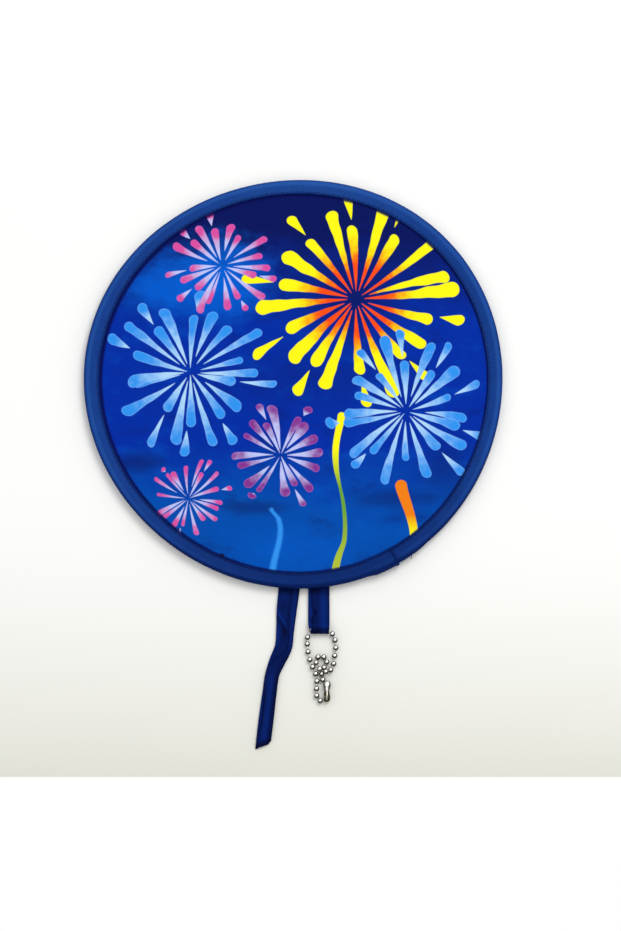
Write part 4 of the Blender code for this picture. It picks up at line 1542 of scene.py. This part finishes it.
def fan_slot(direction, first, last, half, reach):
    """A flat fan-shaped slot from the origin, between two turns either side of a direction."""
    bm = bmesh.new()
    start = direction.normalized() * reach
    tip = bm.verts.new((0, 0, -half))
    row = [bm.verts.new((start.x, start.y, -half))]
    bmesh.ops.rotate(bm, verts=row, cent=(0, 0, 0), matrix=Matrix.Rotation(math.radians(first), 3, "Z"))
    edge = bm.edges.new((tip, row[0]))
    bmesh.ops.spin(
        bm, geom=[tip, row[0], edge], cent=(0, 0, 0), axis=(0, 0, 1),
        angle=math.radians(last - first), steps=10,
    )
    bmesh.ops.remove_doubles(bm, verts=bm.verts, dist=0.001 * MM)
    made = bmesh.ops.extrude_face_region(bm, geom=bm.faces[:])
    raised = [item for item in made["geom"] if isinstance(item, bmesh.types.BMVert)]
    bmesh.ops.translate(bm, verts=raised, vec=(0, 0, 2 * half))
    bmesh.ops.recalc_face_normals(bm, faces=bm.faces)
    return bm


def release_way(settings, arm, opening):
    """The way that the loose end ball takes out of its seat, an arc about the held ball."""
    seat = settings.ball / 2 + 0.2 * MM
    bm = bmesh.new()
    made = bmesh.ops.create_circle(bm, cap_ends=True, radius=seat, segments=32)
    turn = arm.normalized().cross(Vector((0, 0, 1)))
    facing = Vector((0, 0, 1)).rotation_difference(turn).to_matrix()
    bmesh.ops.rotate(bm, verts=made["verts"], cent=(0, 0, 0), matrix=facing)
    bmesh.ops.translate(bm, verts=made["verts"], vec=arm)
    bmesh.ops.spin(
        bm, geom=bm.verts[:] + bm.edges[:] + bm.faces[:], cent=(0, 0, 0), axis=(0, 0, -1),
        angle=math.radians(opening), steps=16,
    )
    bmesh.ops.recalc_face_normals(bm, faces=bm.faces)
    return bm


def make_connector(settings, centres, material):
    held = centres[-1]
    loose = centres[0]
    arm = loose - held
    seat = settings.ball / 2 + 0.2 * MM
    bm = turned(smooth_row(connector_outline(settings, arm.length / 2)[1:-1], 3), 48)
    bmesh.ops.holes_fill(bm, edges=[edge for edge in bm.edges if edge.is_boundary], sides=0)
    bmesh.ops.recalc_face_normals(bm, faces=bm.faces)
    aim(bm, -arm)
    move(bm, held + arm / 2)
    clip = add_piece("chain_clip", bm, [material])
    opening = 60.0
    for place in (held, loose):
        ball = turned(round_profile(seat, 20), 32)
        move(ball, place)
        cut_out(clip, ball)
    way = release_way(settings, arm, opening)
    move(way, held)
    cut_out(clip, way)
    pin = centres[-2] - held
    slot = fan_slot(Vector((pin.x, pin.y, 0)), -opening - 12, 12, settings.pin / 2 + 0.3 * MM, 2.5 * seat)
    move(slot, held)
    cut_out(clip, slot)
    clip.data.shade_smooth()
    clip.data.set_sharp_from_angle(angle=math.radians(40))
    across = arm.normalized().cross(Vector((0, 0, 1)))

    # Painted dark reflection over the clip's loose half, lighter along its middle
    def clip_dark_reflection(point):
        away = point - held
        share = away.dot(arm) / arm.length_squared
        legs = 0.55 + 0.45 * smooth_step(abs(away.dot(across)) / settings.ball, 0.04, 0.14)
        return smooth_step(share, 0.36, 0.56) * legs

    paint_dark_reflections(clip, clip_dark_reflection)
    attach(clip, "connector")
    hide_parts("chain_connector")


# Stage

def paper_finish(settings):
    finish = Finish("paper", **{"Roughness": 0.9, "Specular IOR Level": 0.0})
    split = finish.node("ShaderNodeSeparateXYZ", {}, {0: finish.object_point()})
    depth = Field(finish, split.outputs[1])
    near = finish.math("DIVIDE", SHEET_FAR - depth, SHEET_FAR - SHEET_EDGE, clamp=True)
    # Painted shade: the paper darkens towards its front edge, standing in for the light falling off
    finish.feed("Base Color", finish.mix(near * near, tuple(settings.paper), tuple(settings.near_paper_shade)))
    return finish.material


def flag_finish(settings):
    finish = Finish("flag cloth", **{"Roughness": 1.0, "Specular IOR Level": 0.0})
    shade = finish.clouds(finish.object_point(), 3.0)
    finish.feed("Base Color", finish.mix(shade, tuple(settings.flag), tone(34, 34, 33)))
    return finish.material


def make_floor(settings):
    bm = bmesh.new()
    bmesh.ops.create_grid(bm, x_segments=8, y_segments=8, size=3.0)
    move(bm, Vector((0, 3.0 + SHEET_EDGE, -0.03 * MM)))
    floor = add_piece("paper_floor", bm, [paper_finish(settings)])


def make_flags(settings):
    """Dark cards round the stage, which only bright metal mirrors."""
    bm = bmesh.new()
    bmesh.ops.create_cone(bm, cap_ends=False, segments=48, radius1=1.2, radius2=1.2, depth=0.5)
    move(bm, Vector((0, 0.5, 0.32)))
    flags = add_piece("dark_flags", bm, [flag_finish(settings)])
    flags.visible_camera = False
    flags.visible_diffuse = False
    flags.visible_shadow = False


def make_lamp(name, place, size, power, colour):
    lamp = bpy.data.lights.new(name, "AREA")
    lamp.shape = "DISK"
    lamp.size = size
    lamp.energy = power
    lamp.color = colour
    holder = bpy.data.objects.new(name, lamp)
    holder.location = Vector(place)
    holder.rotation_euler = (DISC - holder.location).to_track_quat("-Z", "Y").to_euler()
    bpy.context.scene.collection.objects.link(holder)


def make_world(strength):
    """Even light for the object; a white surround for the camera, and for what mirrors it."""
    world = bpy.data.worlds.new("studio")
    world.use_nodes = True
    nodes = Nodes(world.node_tree)
    rays = ("Is Camera Ray", "Is Glossy Ray", "Is Transmission Ray")
    seen, mirrored, through = (nodes.field("ShaderNodeLightPath", {}, {}, output=ray) for ray in rays)
    shown = nodes.math("MAXIMUM", nodes.math("MAXIMUM", seen, mirrored), through)
    level = nodes.field("ShaderNodeMapRange", {}, {"Value": shown, "To Min": strength, "To Max": 1.0})
    light = nodes.field("ShaderNodeBackground", {}, {"Color": (1.0, 1.0, 1.0), "Strength": level})
    nodes.node("ShaderNodeOutputWorld", {}, {"Surface": light})
    bpy.context.scene.world = world


def make_camera():
    rise = math.radians(CAMERA_RISE)
    back = Vector((0, -math.cos(rise), math.sin(rise)))
    camera = bpy.data.cameras.new("camera")
    camera.sensor_width = SENSOR
    camera.lens = SENSOR * CAMERA_DISTANCE / (FRAME_HEIGHT * MM_PER_PIXEL * MM)
    camera.clip_end = 20.0
    holder = bpy.data.objects.new("camera", camera)
    holder.location = CAMERA_AIM + back * CAMERA_DISTANCE
    holder.rotation_euler = (-back).to_track_quat("-Z", "Y").to_euler()
    bpy.context.scene.collection.objects.link(holder)
    bpy.context.scene.camera = holder


def make_stage(settings):
    make_floor(settings)
    make_flags(settings)
    make_world(settings.sky)
    make_lamp("key", (0.70, 0.95, 1.60), 1.1, settings.key, (1.0, 1.0, 0.99))
    make_camera()
    bpy.context.scene.view_settings.view_transform = "Standard"


# Add-on

class FAN_OT_panel(bpy.types.Operator):
    """Stretch the printed cloth inside the rim"""

    bl_idname = "fan.panel"
    bl_label = "Printed Panel"

    def execute(self, context):
        make_panel(context.scene.fan_panel, context.scene.fan_rim.segments)
        return {"FINISHED"}


class FAN_OT_rim(bpy.types.Operator):
    """Fold the binding tape round the spring hoop and lap its end"""

    bl_idname = "fan.rim"
    bl_label = "Rim and Hoop"

    def execute(self, context):
        settings = context.scene.fan_rim
        colours = [tuple(colour) for colour in (settings.blue, settings.crease, settings.rub_marks_and_highlight)]
        tape = tape_cloth("binding tape", colours[0], 0.42, *colours[1:])
        make_binding(settings, tape)
        make_lap(settings, tape)
        steel = spring_steel()
        make_hoop(settings, steel)
        make_sleeve(settings, steel)
        return {"FINISHED"}


class FAN_OT_stitching(bpy.types.Operator):
    """Sew the rim, its lap and the ends of the straps"""

    bl_idname = "fan.stitching"
    bl_label = "Stitching"

    def execute(self, context):
        settings = context.scene.fan_rim
        thread = thread_finish(tuple(settings.thread_blue))
        make_rim_stitching(settings, thread)
        make_lap_stitching(settings, thread)
        make_tack(settings, thread)
        make_loose_thread(settings, thread)
        make_strap_seams(context.scene.fan_strap, thread)
        return {"FINISHED"}


class FAN_OT_straps(bpy.types.Operator):
    """Lay the closing strap and the hanging tab"""

    bl_idname = "fan.straps"
    bl_label = "Straps"

    def execute(self, context):
        settings = context.scene.fan_strap
        colours = [tuple(colour) for colour in (settings.blue, settings.crease, settings.rub_marks_and_highlight)]
        tape = tape_cloth("strap tape", colours[0], 0.45, *colours[1:])
        thread = bpy.data.materials["sewing thread"]
        make_long_strap(settings, tape, thread)
        make_short_strap(settings, tape)
        return {"FINISHED"}


class FAN_OT_chain(bpy.types.Operator):
    """String the ball chain through the tab and close it with its clip"""

    bl_idname = "fan.chain"
    bl_label = "Ball Chain and Clip"

    def execute(self, context):
        settings = context.scene.fan_chain
        centres = make_chain(settings, bright_plating("ball plating", settings, 0.12))
        make_connector(settings, centres, bright_plating("clip plating", settings, 0.16))
        return {"FINISHED"}


class FAN_OT_stage(bpy.types.Operator):
    """Set the paper, the lamp, the surround and the camera"""

    bl_idname = "fan.stage"
    bl_label = "Stage"

    def execute(self, context):
        make_stage(context.scene.fan_stage)
        return {"FINISHED"}


class FAN_PT_sidebar(bpy.types.Panel):
    """Sizes and colours of the fan, with a button for each group of pieces"""

    bl_idname = "FAN_PT_sidebar"
    bl_label = "Cloth Fan"
    bl_space_type = "VIEW_3D"
    bl_region_type = "UI"
    bl_category = "Cloth Fan"

    def draw(self, context):
        for group, operators in STEPS.items():
            box = self.layout.box()
            settings = getattr(context.scene, group)
            for key in type(settings).__annotations__:
                box.prop(settings, key)
            for operator in operators:
                box.operator(operator)


# Each group of settings with the operators that use it, in the order in which they run
STEPS = {
    "fan_stage": ("fan.stage",),
    "fan_panel": ("fan.panel",),
    "fan_rim": ("fan.rim", "fan.stitching"),
    "fan_strap": ("fan.straps",),
    "fan_chain": ("fan.chain",),
}
SETTINGS = {
    "fan_stage": StageSettings,
    "fan_panel": PanelSettings,
    "fan_rim": RimSettings,
    "fan_strap": StrapSettings,
    "fan_chain": ChainSettings,
}
OPERATORS = (FAN_OT_stage, FAN_OT_panel, FAN_OT_rim, FAN_OT_stitching, FAN_OT_straps, FAN_OT_chain)


def register():
    for made in (*SETTINGS.values(), *OPERATORS, FAN_PT_sidebar):
        bpy.utils.register_class(made)
    for key, group in SETTINGS.items():
        setattr(bpy.types.Scene, key, PointerProperty(type=group))


def unregister():
    for key in SETTINGS:
        delattr(bpy.types.Scene, key)
    for made in reversed((*SETTINGS.values(), *OPERATORS, FAN_PT_sidebar)):
        bpy.utils.unregister_class(made)


def main():
    register()
    for operators in STEPS.values():
        for name in operators:
            group, action = name.split(".")
            getattr(getattr(bpy.ops, group), action)()


if __name__ == "__main__":
    main()
